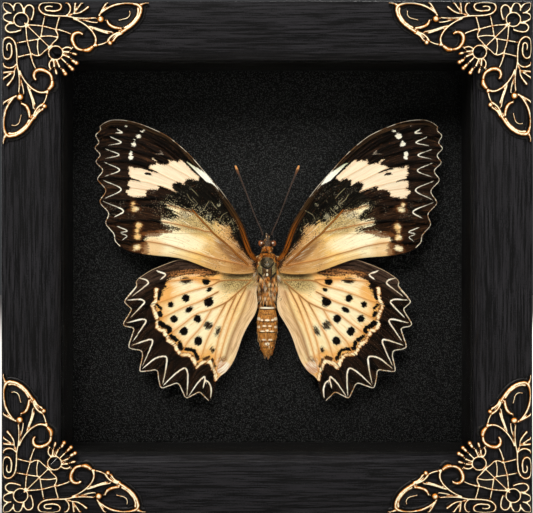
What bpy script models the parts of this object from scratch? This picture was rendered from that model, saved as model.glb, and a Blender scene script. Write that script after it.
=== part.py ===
"""Framed butterfly specimen: a shadow-box frame with corner filigrees,
a female leopard lacewing set on a dark board behind glass.

Metres, +Z up, the front faces -Y. The origin is under the middle of the
bottom rail, halfway through the depth of the whole piece.
"""
import bpy
import bmesh
import math
from mathutils import Matrix, Vector
from mathutils.geometry import delaunay_2d_cdt

MM = 0.001

# ---- driving dimensions, millimetres -------------------------------------
WIDTH = 130.0          # frame, outer
HEIGHT = 125.5
DEPTH = 30.0           # of the rails
FACE = 12.7            # flat face of a rail
BEVEL = 1.5            # slope from the face to the sight edge
BEVEL_DEPTH = 1.4
LIP = 0.8              # thickness of the lip at the sight edge
REBATE = 10.2          # how far in from the outer edge the rebate starts
GLASS = 2.0
SPACER = 4.0           # thickness of the strips between glass and board
BOARD_DEPTH = 22.0     # from the front face to the mount board
BOARD = 2.4
BACK = 2.4
GAP = 0.3              # clearance between neighbouring pieces
MITRE_GAP = 0.08
RELIEF = 1.7           # filigree, front to back

CX, CZ = 0.0, HEIGHT / 2
Y_FRONT = -DEPTH / 2
Y_BACK = DEPTH / 2

# ---- butterfly, millimetres from the middle of the frame ------------------
WING = 0.3
Y_FORE = 1.3           # middle of the forewings
Y_HIND = 2.3

FOREWING = [
    (-3.6, -1.2), (-4.2, 1.8), (-4.7, 4.1), (-6.1, 8.2), (-8.6, 12.4), (-11.9, 17.1),
    (-15.8, 21.6), (-20, 26.3), (-23.6, 29.5), (-25.8, 31.1), (-30, 33.1), (-33.9, 34.5),
    (-37.5, 35.1), (-40, 35.0), (-41.9, 34.2), (-42.9, 33.4), (-42.8, 32.5), (-44.0, 31.1),
    (-43.2, 29.3), (-44.2, 27.9), (-42.9, 26.1), (-43.9, 24.3), (-42.2, 22.1), (-43.5, 19.9),
    (-41.4, 17.0), (-42.9, 14.1), (-40.7, 11.1), (-41.4, 8.6), (-39.3, 5.7), (-39.0, 4.1),
    (-37.8, 2.7), (-35.8, 1.6), (-33.9, 1.0), (-31.1, 0.6), (-28.3, 0.3), (-25, 0),
    (-21.9, -0.5), (-18.6, -1.6), (-15, -3.0), (-11.7, -4.0), (-8.3, -4.4), (-6.1, -4.4),
    (-4.2, -4.0)]

HINDWING = [
    (-22.5, -0.75), (-24, -1.1), (-26.75, -2.1), (-29.75, -3.4), (-31.75, -4.6),
    (-33.25, -5.75), (-33.75, -6.5), (-33.6, -7.4), (-34.75, -9), (-36.1, -10.5),
    (-36.7, -11.6), (-35.5, -12.9), (-35, -13.4), (-35.6, -14.75), (-37, -17.25),
    (-36.5, -17.9), (-34.4, -18.5), (-34.75, -20), (-35.6, -23.2), (-34.75, -23.75),
    (-32.4, -24.3), (-32.1, -25.3), (-32.5, -27.25), (-32.7, -29.4), (-30.5, -29.4),
    (-28.4, -29.25), (-28, -31.25), (-27.2, -33.7), (-25.25, -33.25), (-23, -32.6),
    (-22, -34.25), (-20.8, -36.3), (-19, -35.6), (-17.4, -34.9), (-16.25, -35.9),
    (-15.1, -37), (-14.1, -36), (-13.5, -34), (-13, -32), (-12.1, -30.75),
    (-10.6, -29.6), (-9.5, -28.25), (-8.6, -26.75), (-7.5, -24), (-6.5, -21),
    (-5.5, -18.5), (-4.25, -16.25), (-3.45, -15), (-3.3, -13), (-3.3, -11.25),
    (-3.4, -9), (-3.5, -7.5), (-3.6, -6), (-4.6, -3.4), (-8, -1.6), (-15, -0.7)]

# the body from the mouth parts to the tail: height, half width, middle and
# half depth measured from the mid-depth of the frame
BODY = [
    (6.0, 0.30, 1.9, 0.5), (5.6, 0.55, 1.9, 0.9), (4.6, 0.85, 1.9, 1.4),
    (4.1, 1.75, 1.8, 1.7), (3.4, 2.15, 1.8, 1.9), (2.8, 1.75, 1.9, 1.9),
    (2.3, 1.45, 2.0, 1.9), (1.2, 1.90, 2.3, 2.4), (0.2, 2.60, 2.8, 3.3),
    (-1.2, 3.05, 3.1, 3.9), (-3.0, 3.15, 3.1, 3.9), (-5.0, 3.10, 3.1, 3.8),
    (-7.0, 2.85, 3.2, 3.5), (-9.0, 2.40, 3.3, 3.0), (-11.0, 2.05, 3.4, 2.6),
    (-12.4, 1.85, 3.4, 2.2), (-13.2, 2.05, 3.4, 2.2), (-15.0, 2.35, 3.4, 2.5),
    (-17.2, 2.60, 3.4, 2.7), (-19.2, 2.55, 3.4, 2.7), (-21.2, 2.30, 3.4, 2.5),
    (-23.0, 1.85, 3.4, 2.1), (-24.6, 1.25, 3.4, 1.6), (-25.6, 0.75, 3.4, 1.0),
    (-26.0, 0.35, 3.4, 0.5)]

ANTENNA = [(-1.15, 5.9, 0.9), (-3.0, 10.2, 0.7), (-5.6, 17.0, 0.4), (-7.3, 21.2, 0.3),
           (-7.75, 22.3, 0.3), (-8.15, 23.4, 0.3)]
ANTENNA_RADIUS = [0.16, 0.13, 0.15, 0.26, 0.36, 0.24]

# ---- filigree: distances from the frame's corner along one side and in from
# it; the other arm is the mirror of this one about the corner's diagonal ----
FILIGREE_EDGE = [
    (0.25, 0.25), (1.2, 0.1), (2.6, 0.85), (3.3, 0.9), (4.2, 0.2), (5.2, 0.6),
    (5.9, 1.4), (7.0, 0.8), (8.0, 1.3), (8.6, 2.0), (9.3, 0.6), (10.6, 0.1),
    (13.6, 0.1), (15.2, 1.0), (15.8, 0.1), (20.2, 0.15), (21.5, 1.5), (20.3, 3.1),
    (19.0, 3.9), (23.4, 3.95), (24.1, 3.0), (25.6, 0.2), (26.4, 0.2), (26.6, 0.9),
    (28.4, 0.2), (35.8, 0.1), (36.2, 0.4), (34.9, 1.5), (34.9, 2.9), (34.0, 4.8),
    (32.6, 6.5), (30.9, 7.9), (29.2, 9.1), (28.0, 10.1), (27.4, 11.3), (26.6, 11.6),
    (26.0, 11.0), (24.0, 11.9), (22.7, 12.9), (21.3, 13.4), (19.0, 12.9), (19.0, 14.0),
    (19.4, 15.4), (18.8, 16.5), (18.4, 17.4), (18.0, 18.0)]
FILIGREE_HOLES = [
    [(27.2, 2.6), (28.8, 1.6), (30.8, 1.4), (31.3, 2.6), (30.3, 4.0), (28.5, 4.7), (27.2, 4.4)],
    [(15.0, 5.2), (17.8, 5.4), (19.3, 6.5), (17.6, 7.3), (14.8, 6.8)],
    [(14.7, 8.6), (16.7, 9.1), (17.0, 10.7), (16.1, 11.3), (14.8, 10.9)],
    [(10.9, 4.9), (13.6, 5.2), (13.2, 6.5), (10.8, 5.9)],
    [(23.9, 8.1), (26.2, 8.8), (25.6, 9.5), (24.2, 10.3)]]
FILIGREE_ROUND = [((20.3, 10.3), 1.8, 12), ((4.95, 4.85), 1.5, 14), ((13.4, 13.2), 1.4, 14)]
# how long the level and the upright arm of each corner's filigree are, against
# the lengths above
FILIGREE_ARMS = {"tl": (1.0, 0.969), "tr": (0.975, 0.955),
                 "bl": (0.980, 0.948), "br": (0.983, 0.942)}


def clear_scene():
    for obj in list(bpy.data.objects):
        bpy.data.objects.remove(obj, do_unlink=True)
    for mesh in list(bpy.data.meshes):
        bpy.data.meshes.remove(mesh)
    for mat in list(bpy.data.materials):
        bpy.data.materials.remove(mat)


def material(name, colour, roughness, metallic=0.0, transmission=0.0, ior=1.5):
    mat = bpy.data.materials.get(name) or bpy.data.materials.new(name)
    mat.use_nodes = True
    bsdf = mat.node_tree.nodes["Principled BSDF"]
    bsdf.inputs["Base Color"].default_value = (*colour, 1.0)
    bsdf.inputs["Roughness"].default_value = roughness
    bsdf.inputs["Metallic"].default_value = metallic
    bsdf.inputs["Transmission Weight"].default_value = transmission
    bsdf.inputs["IOR"].default_value = ior
    mat.diffuse_color = (*colour, 1.0)
    return mat


def add_mesh(name, verts, faces, mat, smooth=False, angle=40):
    mesh = bpy.data.meshes.new(name)
    mesh.from_pydata([tuple(c * MM for c in v) for v in verts], [], faces)
    mesh.materials.append(mat)
    bm = bmesh.new()
    bm.from_mesh(mesh)
    bmesh.ops.recalc_face_normals(bm, faces=bm.faces)
    bm.to_mesh(mesh)
    bm.free()
    if smooth:
        mesh.shade_smooth()
        mesh.set_sharp_from_angle(angle=math.radians(angle))
    obj = bpy.data.objects.new(name, mesh)
    bpy.context.scene.collection.objects.link(obj)
    return obj


def add_box(name, x, y, z, mat):
    """A box between the limits x, y and z, each a (low, high) pair."""
    verts = [(a, b, c) for a in x for b in y for c in z]
    faces = [(0, 1, 3, 2), (4, 6, 7, 5), (0, 4, 5, 1), (2, 3, 7, 6), (0, 2, 6, 4), (1, 5, 7, 3)]
    return add_mesh(name, verts, faces, mat)


def side_point(side, inset, along_end):
    """A point on a frame member: inset from the outer edge, at one end (-1 or
    +1) of it, on the 45 degree mitre."""
    reach = inset + MITRE_GAP
    if side in ("top", "bottom"):
        x = along_end * (WIDTH / 2 - reach)
        z = HEIGHT - inset if side == "top" else inset
    else:
        x = (WIDTH / 2 - inset) * (-1 if side == "left" else 1)
        z = CZ + along_end * (HEIGHT / 2 - reach)
    return x, z


def add_member(name, side, profile, mat):
    """A mitred member: the profile (inset, y) drawn from mitre to mitre."""
    verts = []
    for end in (-1, 1):
        for inset, y in profile:
            x, z = side_point(side, inset, end)
            verts.append((x, y, z))
    n = len(profile)
    faces = [tuple(range(n)), tuple(range(2 * n - 1, n - 1, -1))]
    faces += [(i, (i + 1) % n, n + (i + 1) % n, n + i) for i in range(n)]
    return add_mesh(name, verts, faces, mat)


def inside(point, loop):
    x, y = point
    hit = False
    for (x0, y0), (x1, y1) in zip(loop, loop[1:] + loop[:1]):
        if (y0 > y) != (y1 > y) and x < (x1 - x0) * (y - y0) / (y1 - y0) + x0:
            hit = not hit
    return hit


def add_sheet(name, outline, holes, y0, y1, mat):
    """A flat sheet from y0 to y1 with a straight-walled outline and holes."""
    loops = [outline] + holes
    points, edges = [], []
    for loop in loops:
        first = len(points)
        points += [Vector(p) for p in loop]
        edges += [(first + i, first + (i + 1) % len(loop)) for i in range(len(loop))]
    pts, _, tris, *_ = delaunay_2d_cdt(points, edges, [], 0, 1e-7)
    kept = []
    for tri in tris:
        mid = sum((pts[i] for i in tri), Vector((0, 0))) / 3
        if inside(mid, outline) and not any(inside(mid, hole) for hole in holes):
            kept.append(tuple(tri))
    n = len(pts)
    verts = [(p.x, y0, p.y) for p in pts] + [(p.x, y1, p.y) for p in pts]
    faces = kept + [tuple(n + i for i in reversed(tri)) for tri in kept]
    count = {}
    for a, b, c in kept:
        for e in ((a, b), (b, c), (c, a)):
            count[e] = True
    for a, b in count:
        if (b, a) not in count:
            faces.append((b, a, n + a, n + b))
    return add_mesh(name, verts, faces, mat)


def add_loft(name, rings, mat):
    """A closed solid through rings of points, fanned shut at both ends."""
    n = len(rings[0])
    verts = [v for ring in rings for v in ring]
    faces = []
    for r in range(len(rings) - 1):
        for i in range(n):
            j = (i + 1) % n
            faces.append((r * n + i, r * n + j, (r + 1) * n + j, (r + 1) * n + i))
    for r in (0, len(rings) - 1):
        verts.append(tuple(sum(v[k] for v in rings[r]) / n for k in range(3)))
        for i in range(n):
            faces.append((r * n + i, r * n + (i + 1) % n, len(verts) - 1))
    return add_mesh(name, verts, faces, mat, smooth=True)


def add_frame():
    wood = material("black_wood", (0.016, 0.016, 0.018), 0.42)
    lip_back = Y_FRONT + BEVEL_DEPTH + LIP
    sight = FACE + BEVEL
    rail = [(0.0, Y_FRONT + 0.5), (0.5, Y_FRONT), (FACE, Y_FRONT),
            (sight, Y_FRONT + BEVEL_DEPTH), (sight, lip_back), (REBATE, lip_back),
            (REBATE, Y_BACK), (0.0, Y_BACK)]
    for side in ("top", "bottom", "left", "right"):
        add_member("rail_" + side, side, rail, wood)

    x_in = WIDTH / 2 - REBATE - GAP
    z_in = HEIGHT / 2 - REBATE - GAP
    xs, zs = (-x_in, x_in), (CZ - z_in, CZ + z_in)
    glass = material("clear_glass", (1.0, 1.0, 1.0), 0.0, transmission=1.0, ior=1.52)
    y_glass = lip_back + GAP
    add_box("glass_pane", xs, (y_glass, y_glass + GLASS), zs, glass)

    lining = material("black_lining", (0.014, 0.014, 0.015), 0.6)
    y_board = Y_FRONT + BOARD_DEPTH
    outer = REBATE + GAP
    strip = [(outer, y_glass + GLASS + GAP), (outer + SPACER, y_glass + GLASS + GAP),
             (outer + SPACER, y_board - GAP), (outer, y_board - GAP)]
    for side in ("top", "bottom", "left", "right"):
        add_member("spacer_" + side, side, strip, lining)

    paper = material("black_paper", (0.022, 0.022, 0.024), 0.75)
    add_box("mount_board", xs, (y_board, y_board + BOARD), zs, paper)
    brown = material("hardboard", (0.11, 0.07, 0.045), 0.8)
    y_back = y_board + BOARD + GAP
    add_box("back_panel", xs, (y_back, y_back + BACK), zs, brown)

    steel = material("steel", (0.50, 0.50, 0.49), 0.4, metallic=1.0)
    y_tab = y_back + BACK + 0.1
    root, tip = REBATE + 0.1, REBATE + 6.5
    for side in ("top", "bottom", "left", "right"):
        if side in ("top", "bottom"):
            z = sorted(HEIGHT - d if side == "top" else d for d in (root, tip))
            add_box("back_tab_" + side, (-3.5, 3.5), (y_tab, y_tab + 0.4), z, steel)
        else:
            x = sorted((WIDTH / 2 - d) * (-1 if side == "left" else 1) for d in (root, tip))
            add_box("back_tab_" + side, x, (y_tab, y_tab + 0.4), (CZ - 3.5, CZ + 3.5), steel)


def add_hanger():
    """A saw-tooth hanger nailed to the back of the top rail."""
    steel = material("hanger_steel", (0.62, 0.58, 0.48), 0.35, metallic=1.0)
    z_low, z_high, half = HEIGHT - 8.2, HEIGHT - 2.2, 19.0
    teeth = []
    count = 11
    for i in range(count):
        x0 = -11.0 + 22.0 * i / count
        teeth += [(x0, z_low), (x0 + 11.0 / count, z_low + 1.3)]
    outline = [(-half, z_low), *teeth, (11.0, z_low), (half, z_low), (half, z_high),
               (-half, z_high)]
    holes = []
    for sign in (-1, 1):
        holes.append([(sign * 16.0 + 0.85 * math.cos(math.tau * i / 10),
                       (z_low + z_high) / 2 + 0.85 * math.sin(math.tau * i / 10))
                      for i in range(10)])
    add_sheet("saw_hanger", outline, holes, Y_BACK + 0.1, Y_BACK + 0.9, steel)
    for sign, side in ((-1, "left"), (1, "right")):
        rings = []
        for r, y in ((0.5, 0.12), (0.5, 1.15), (1.5, 1.15), (1.3, 1.6), (0.6, RELIEF + 0.1)):
            rings.append([(sign * 16.0 + r * math.cos(math.tau * i / 10), Y_BACK + y,
                           (z_low + z_high) / 2 + r * math.sin(math.tau * i / 10))
                          for i in range(10)])
        add_loft("hanger_nail_" + side, rings, steel)


def add_filigrees():
    brass = material("antique_brass", (0.55, 0.36, 0.16), 0.35, metallic=1.0)
    half = FILIGREE_EDGE
    outline = half + [(v, u) for u, v in reversed(half[1:-1])]
    holes = []
    for hole in FILIGREE_HOLES:
        holes += [hole, [(v, u) for u, v in hole]]
    for (u, v), r, n in FILIGREE_ROUND:
        ring = [(u + r * math.cos(math.tau * i / n), v + r * math.sin(math.tau * i / n))
                for i in range(n)]
        holes.append(ring)
        if abs(u - v) > 1.0:
            holes.append([(b, a) for a, b in ring])
    for corner, (level, upright) in FILIGREE_ARMS.items():
        sx = -1 if corner[1] == "l" else 1
        sz = 1 if corner[0] == "t" else -1

        def place(p):
            return (sx * (WIDTH / 2 - p[0] * level), CZ + sz * (HEIGHT / 2 - p[1] * upright))
        add_sheet("filigree_" + corner, [place(p) for p in outline],
                  [[place(p) for p in hole] for hole in holes],
                  Y_FRONT - RELIEF - 0.1, Y_FRONT - 0.1, brass)


def right_forewing(p):
    """The right forewing is a little longer and set a little lower."""
    x, z = -p[0] - 3.6, p[1] + 1.2
    turn, size = math.radians(-0.65), 1.011
    return (3.6 + size * (x * math.cos(turn) - z * math.sin(turn)),
            -1.2 + size * (x * math.sin(turn) + z * math.cos(turn)))


def add_butterfly():
    dark = material("forewing_scales", (0.14, 0.10, 0.07), 0.7)
    pale = material("hindwing_scales", (0.72, 0.60, 0.42), 0.7)
    fur = material("body_fur", (0.42, 0.26, 0.11), 0.8)
    horn = material("antenna_brown", (0.20, 0.08, 0.03), 0.5)

    def on_board(points):
        return [(x, CZ + z) for x, z in points]
    half = WING / 2
    add_sheet("forewing_left", on_board(FOREWING), [], Y_FORE - half, Y_FORE + half, dark)
    add_sheet("forewing_right", on_board([right_forewing(p) for p in reversed(FOREWING)]), [],
              Y_FORE - half, Y_FORE + half, dark)
    add_sheet("hindwing_left", on_board(HINDWING), [], Y_HIND - half, Y_HIND + half, pale)
    add_sheet("hindwing_right", on_board([(-x * 1.005, z) for x, z in reversed(HINDWING)]), [],
              Y_HIND - half, Y_HIND + half, pale)

    n = 18
    rings = []
    for z, half_width, middle, half_depth in BODY:
        rings.append([(half_width * math.cos(math.tau * i / n),
                       middle + half_depth * math.sin(math.tau * i / n), CZ + z)
                      for i in range(n)])
    add_loft("body", rings, fur)

    for sign, side in ((1, "left"), (-1, "right")):
        rings = []
        for k, (x, z, y) in enumerate(ANTENNA):
            r = ANTENNA_RADIUS[k]
            rings.append([(sign * x + r * math.cos(math.tau * i / 8),
                           y + r * math.sin(math.tau * i / 8), CZ + z) for i in range(8)])
        add_loft("antenna_" + side, rings, horn)


clear_scene()
add_frame()
add_hanger()
add_filigrees()
add_butterfly()
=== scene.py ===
import math
import bpy
import numpy as np
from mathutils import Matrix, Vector


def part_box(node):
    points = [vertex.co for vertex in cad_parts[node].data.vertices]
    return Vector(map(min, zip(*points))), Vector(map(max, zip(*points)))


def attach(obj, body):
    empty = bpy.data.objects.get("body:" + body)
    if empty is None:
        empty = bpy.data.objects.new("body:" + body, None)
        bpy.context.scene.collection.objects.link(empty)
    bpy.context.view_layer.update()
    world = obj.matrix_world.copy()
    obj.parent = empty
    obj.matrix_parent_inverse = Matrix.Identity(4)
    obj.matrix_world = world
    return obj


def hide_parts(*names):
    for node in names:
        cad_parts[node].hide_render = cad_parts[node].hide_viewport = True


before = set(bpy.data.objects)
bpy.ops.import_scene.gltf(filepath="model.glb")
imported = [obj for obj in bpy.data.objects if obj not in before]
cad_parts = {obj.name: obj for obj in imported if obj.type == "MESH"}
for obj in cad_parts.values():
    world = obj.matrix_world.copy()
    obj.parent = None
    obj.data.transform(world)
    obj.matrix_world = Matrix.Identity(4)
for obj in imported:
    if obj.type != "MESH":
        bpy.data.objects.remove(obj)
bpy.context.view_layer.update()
bpy.ops.object.select_all(action="DESELECT")

# ---------------------------------------------------------------- frame rails
# Four lengths of black-stained moulding, mitred at the corners: a flat face,
# a sloped inner edge and a thin lip. A rebate behind the lip takes the pane,
# the box lining, the board and the back.
MM = 0.001
WIDE, HIGH = 0.130, 0.1255
MIDDLE = HIGH / 2
FRONT, REAR = -0.015, 0.015


class Number:
    """A value that a finish works out over the surface, ready for arithmetic."""

    def __init__(self, finish, socket):
        self.finish, self.socket = finish, socket

    def math(self, operation, *values):
        return self.finish.node("ShaderNodeMath", {"operation": operation}, *values)

    def __add__(self, other):
        return self.math("ADD", self, other)

    def __sub__(self, other):
        return self.math("SUBTRACT", self, other)

    def __rsub__(self, other):
        return self.math("SUBTRACT", other, self)

    def __mul__(self, other):
        return self.math("MULTIPLY", self, other)

    def __truediv__(self, other):
        return self.math("DIVIDE", self, other)

    def __neg__(self):
        return self.math("MULTIPLY", self, -1.0)

    __radd__, __rmul__ = __add__, __mul__

    def most(self, other):
        return self.math("MAXIMUM", self, other)

    def size(self):
        return self.math("ABSOLUTE", self)

    def rise(self, low, high):
        """0 below low, 1 above high, smooth between; high may be the smaller."""
        if low > high:
            return 1.0 - self.rise(high, low)
        return self.finish.node("ShaderNodeMapRange", {"interpolation_type": "SMOOTHSTEP"},
                                self, low, high, 0.0, 1.0)


class Finish:
    """A material of one Principled surface, built node by node."""

    def __init__(self, name, **constants):
        self.material = bpy.data.materials.new(name)
        self.material.use_nodes = True
        self.tree = self.material.node_tree
        self.shader = self.tree.nodes["Principled BSDF"]
        for socket, value in constants.items():
            self.plug(self.shader.inputs[socket.replace("_", " ")], value)

    def plug(self, socket, value):
        if isinstance(value, Number):
            self.tree.links.new(value.socket, socket)
        elif value is not None:
            socket.default_value = value

    def node(self, kind, settings, *values, out=0, **named):
        node = self.tree.nodes.new(kind)
        for key, value in settings.items():
            setattr(node, key, value)
        for socket, value in zip(node.inputs, values):
            self.plug(socket, value)
        for name, value in named.items():
            self.plug(node.inputs[name], value)
        return Number(self, node.outputs[out])

    def place(self, x=1.0, y=None, z=None):
        """Object coordinates in millimetres, stretched by x, y and z, or all by x."""
        y, z = x if y is None else y, x if z is None else z
        spot = self.node("ShaderNodeTexCoord", {}, out=3)
        return self.node("ShaderNodeMapping", {}, spot, None, None, (x / MM, y / MM, z / MM))

    def part(self, spot, axis):
        """One of a place's three numbers."""
        return self.node("ShaderNodeSeparateXYZ", {}, spot, out="xyz".index(axis))

    def noise(self, spot, detail=3.0, rough=0.5, lean=0.0):
        return self.node("ShaderNodeTexNoise", {}, Vector=spot, Scale=1.0, Detail=detail,
                         Roughness=rough, Distortion=lean)

    def mix(self, factor, first, second):
        """From the first colour to the second as the factor goes from 0 to 1."""
        node = self.tree.nodes.new("ShaderNodeMix")
        node.data_type = "RGBA"
        for index, value in ((0, factor), (6, first), (7, second)):
            self.plug(node.inputs[index], value)
        return Number(self, node.outputs[2])

    def attribute(self, name):
        return self.node("ShaderNodeAttribute", {"attribute_name": name}, out=2)

    def tones(self, value, low, high, first, second):
        """Between two colours, as the value goes from low to high."""
        return self.mix(value.rise(low, high), tint(*first), tint(*second))

    def relief(self, height, strength=0.3, distance=0.0001):
        """Bumps of that height; the distance is in metres."""
        bump = self.node("ShaderNodeBump", {}, Strength=strength, Distance=distance,
                         Height=height)
        self.plug(self.shader.inputs["Normal"], bump)

    def colour(self, value):
        self.plug(self.shader.inputs["Base Color"], value)

    def rough(self, value):
        self.plug(self.shader.inputs["Roughness"], value)


def tint(red, green, blue):
    """A colour given as 0 to 255 display values, as the linear one shaders use."""
    return tuple((c / 255 / 12.92) if c <= 10 else ((c / 255 + 0.055) / 1.055) ** 2.4
                 for c in (red, green, blue)) + (1.0,)


def drop(piece):
    """Drops every other selection for this piece."""
    bpy.ops.object.select_all(action="DESELECT")
    piece.select_set(True)
    bpy.context.view_layer.objects.active = piece


def apply_all(piece):
    """Applies its modifiers in order, and leaves it unturned at the origin."""
    drop(piece)
    for modifier in list(piece.modifiers):
        bpy.ops.object.modifier_apply(modifier=modifier.name)
    bpy.ops.object.transform_apply(location=True, rotation=True, scale=True)


def block(name, low, high):
    """A sawn block between two corners."""
    bpy.ops.object.select_all(action="DESELECT")
    centre = [(a + b) / 2 for a, b in zip(low, high)]
    bpy.ops.mesh.primitive_cube_add(size=1.0, location=centre)
    piece = bpy.context.object
    piece.name = piece.data.name = name
    piece.scale = [b - a for a, b in zip(low, high)]
    bpy.ops.object.transform_apply(location=True, rotation=True, scale=True)
    return piece


def saw(piece, point, normal):
    """Cuts away what lies on the normal's side of a plane, and closes the cut."""
    drop(piece)
    bpy.ops.object.mode_set(mode="EDIT")
    bpy.ops.mesh.select_all(action="SELECT")
    bpy.ops.mesh.bisect(plane_co=point, plane_no=normal, use_fill=True, clear_outer=True)
    bpy.ops.object.mode_set(mode="OBJECT")


def ease(piece, width, segments=2):
    """Rounds the sharp edges over."""
    edge = piece.modifiers.new("ease", "BEVEL")
    edge.width, edge.segments, edge.limit_method = width, segments, "ANGLE"
    edge.angle_limit = math.radians(30)
    apply_all(piece)
    bpy.ops.object.shade_smooth_by_angle(angle=math.radians(35))


def hand_over(piece, slot, *nodes):
    """Puts a finished piece in place of its CAD nodes."""
    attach(piece, "root")
    if nodes:
        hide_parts(*nodes)


def black_wood(name, level):
    """Black stain over open grain that runs along a level or an upright rail."""
    wood = Finish(name, Specular_IOR_Level=0.12)
    long, fine = (0.1, 3.3) if level else (3.3, 0.1)
    fibre = wood.noise(wood.place(long, 3.3, fine), detail=4, rough=0.72)
    pore = wood.noise(wood.place(long * 0.4, 1.2, fine * 0.4), detail=2, rough=0.6)
    cloud = wood.noise(wood.place(0.09), detail=2)
    nap = wood.noise(wood.place(3.2), detail=2, rough=0.6)
    grain = fibre * 0.66 + pore * 0.14 + nap * 0.2
    colour = wood.tones(grain, 0.45, 0.56, (2, 2, 3), (36, 35, 38))
    colour = wood.mix(cloud.rise(0.4, 0.65) * 0.25, colour, tint(18, 17, 18))
    wood.colour(colour)
    wood.rough(0.5 - (grain - 0.5) * 0.5)
    wood.relief(grain, strength=0.5, distance=0.00014)
    return wood.material


FACE, SIGHT = 0.0127, 0.0142        # in from the outer edge: the flat face, and the lip
SLOPE_DROP, LIP_BACK, REBATE = 0.0014, FRONT + 0.0022, 0.0102
JOINT = 0.00008                     # the hairline at each mitre
SIDES = {"top": (0, 1), "bottom": (0, -1), "left": (-1, 0), "right": (1, 0)}


def moulding(side):
    """One rail: a block, mitred, its inner edge sloped, its back rebated."""
    ox, oz = SIDES[side]
    x0, x1, z0, z1 = -WIDE / 2, WIDE / 2, 0.0, HIGH
    if ox:
        x0, x1 = sorted((ox * WIDE / 2, ox * (WIDE / 2 - SIGHT)))
    else:
        z0, z1 = sorted((MIDDLE + oz * HIGH / 2, MIDDLE + oz * (HIGH / 2 - SIGHT)))
    rail = block("rail_" + side + "_wood", (x0, FRONT, z0), (x1, REAR, z1))
    for turn in (-1, 1):
        if ox:
            corner = (ox * (WIDE / 2), 0, MIDDLE + turn * (HIGH / 2 - JOINT))
            normal = (-ox, 0, turn)
        else:
            corner = (turn * (WIDE / 2 - JOINT), 0, MIDDLE + oz * HIGH / 2)
            normal = (turn, 0, -oz)
        saw(rail, corner, normal)
    inner_x, inner_z = ox * (WIDE / 2 - FACE), MIDDLE + oz * (HIGH / 2 - FACE)
    slope = math.atan2(SLOPE_DROP, SIGHT - FACE)
    saw(rail, (inner_x if ox else 0, FRONT, inner_z if oz else MIDDLE),
        (-ox * math.sin(slope), -math.cos(slope), -oz * math.sin(slope)))
    clear_by = 0.01
    across, depths = WIDE / 2 if ox else HIGH / 2, (REBATE, SIGHT + 0.002)
    near, far = sorted((ox or oz) * (across - depth) for depth in depths)
    if ox:
        low, high = (near, LIP_BACK, -clear_by), (far, REAR + clear_by, HIGH + clear_by)
    else:
        low, high = (-WIDE, LIP_BACK, MIDDLE + near), (WIDE, REAR + clear_by, MIDDLE + far)
    cutter = block("rebate_plane", low, high)
    groove = rail.modifiers.new("rebate", "BOOLEAN")
    groove.object, groove.operation = cutter, "DIFFERENCE"
    apply_all(rail)
    bpy.data.objects.remove(cutter, do_unlink=True)
    ease(rail, 0.00022)
    return rail


wood_level = black_wood("black_wood_level", True)
wood_upright = black_wood("black_wood_upright", False)
for side, (ox, oz) in SIDES.items():
    rail = moulding(side)
    rail.data.materials.append(wood_upright if ox else wood_level)
    hand_over(rail, "black_wood", "rail_" + side)

# ----------------------------------------------------------------- glass pane
# A clear 2 mm pane of anti-reflection glass, its edges just dulled by the
# cutter. It lies against the back of the lip, held there by the box lining.
pane = block("pane", *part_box("glass_pane"))
ease(pane, 0.00015, 1)
clear = Finish("clear_pane")
film = clear.node("ShaderNodeBsdfTransparent", {}, (0.985, 0.99, 0.985, 1.0))
shine = clear.node("ShaderNodeBsdfGlossy", {}, (1, 1, 1, 1), 0.02)
angle = clear.node("ShaderNodeFresnel", {}, 1.05)
both = clear.node("ShaderNodeMixShader", {}, angle, film, shine)
clear.plug(clear.tree.nodes["Material Output"].inputs["Surface"], both)
pane.data.materials.append(clear.material)
hand_over(pane, "clear_glass", "glass_pane")

# ----------------------------------------------------------------- box lining
# Four black-painted strips, mitred, that stand on edge between the pane and
# the board and make the inner walls of the box.
LINED = 0.0105      # in from the frame's outer edge to the back of the lining
lining = Finish("black_lining", Specular_IOR_Level=0.1)
brushed = lining.noise(lining.place(0.5, 0.8, 0.5), detail=4, rough=0.65)
lining.colour(lining.tones(brushed, 0.35, 0.68, (9, 9, 9), (25, 24, 24)))
lining.rough(0.5 + brushed * 0.3)
lining.relief(brushed, strength=0.3, distance=0.0001)
for side, (ox, oz) in SIDES.items():
    strip = block("lining_" + side, *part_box("spacer_" + side))
    half_wide, half_high = WIDE / 2 - LINED, HIGH / 2 - LINED
    for turn in (-1, 1):
        if ox:
            saw(strip, (ox * half_wide, 0, MIDDLE + turn * (half_high - JOINT)), (-ox, 0, turn))
        else:
            saw(strip, (turn * (half_wide - JOINT), 0, MIDDLE + oz * half_high), (turn, 0, -oz))
    ease(strip, 0.0002)
    strip.data.materials.append(lining.material)
    hand_over(strip, "black_lining", "spacer_" + side)

# ---------------------------------------------------------------- mount board
# A stiff board faced with black paper, embossed all over with a fine pebbled
# grain like leather. The butterfly is fixed to it by the underside of its body.
board = block("board", *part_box("mount_board"))
ease(board, 0.0002)
paper = Finish("pebbled_paper", Specular_IOR_Level=0.14)
pebble = paper.node("ShaderNodeTexVoronoi", {"feature": "SMOOTH_F1"},
                    Vector=paper.place(3.0, 2.4, 3.0),
                    Scale=1.0, Smoothness=0.5)
crease = paper.noise(paper.place(1.7, 1.7, 2.3), detail=4, rough=0.7, lean=0.6)
fleck = paper.noise(paper.place(5.0), detail=2, rough=0.7)
skin = (0.7 - pebble) * 0.5 + crease * 0.6 + fleck * 0.35
paper.colour(paper.tones(skin, 0.58, 0.78, (1, 1, 1), (66, 66, 66)))
paper.rough(0.7 - skin * 0.3)
paper.relief(skin, strength=1.0, distance=0.0003)
board.data.materials.append(paper.material)
hand_over(board, "black_paper", "mount_board")

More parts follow.
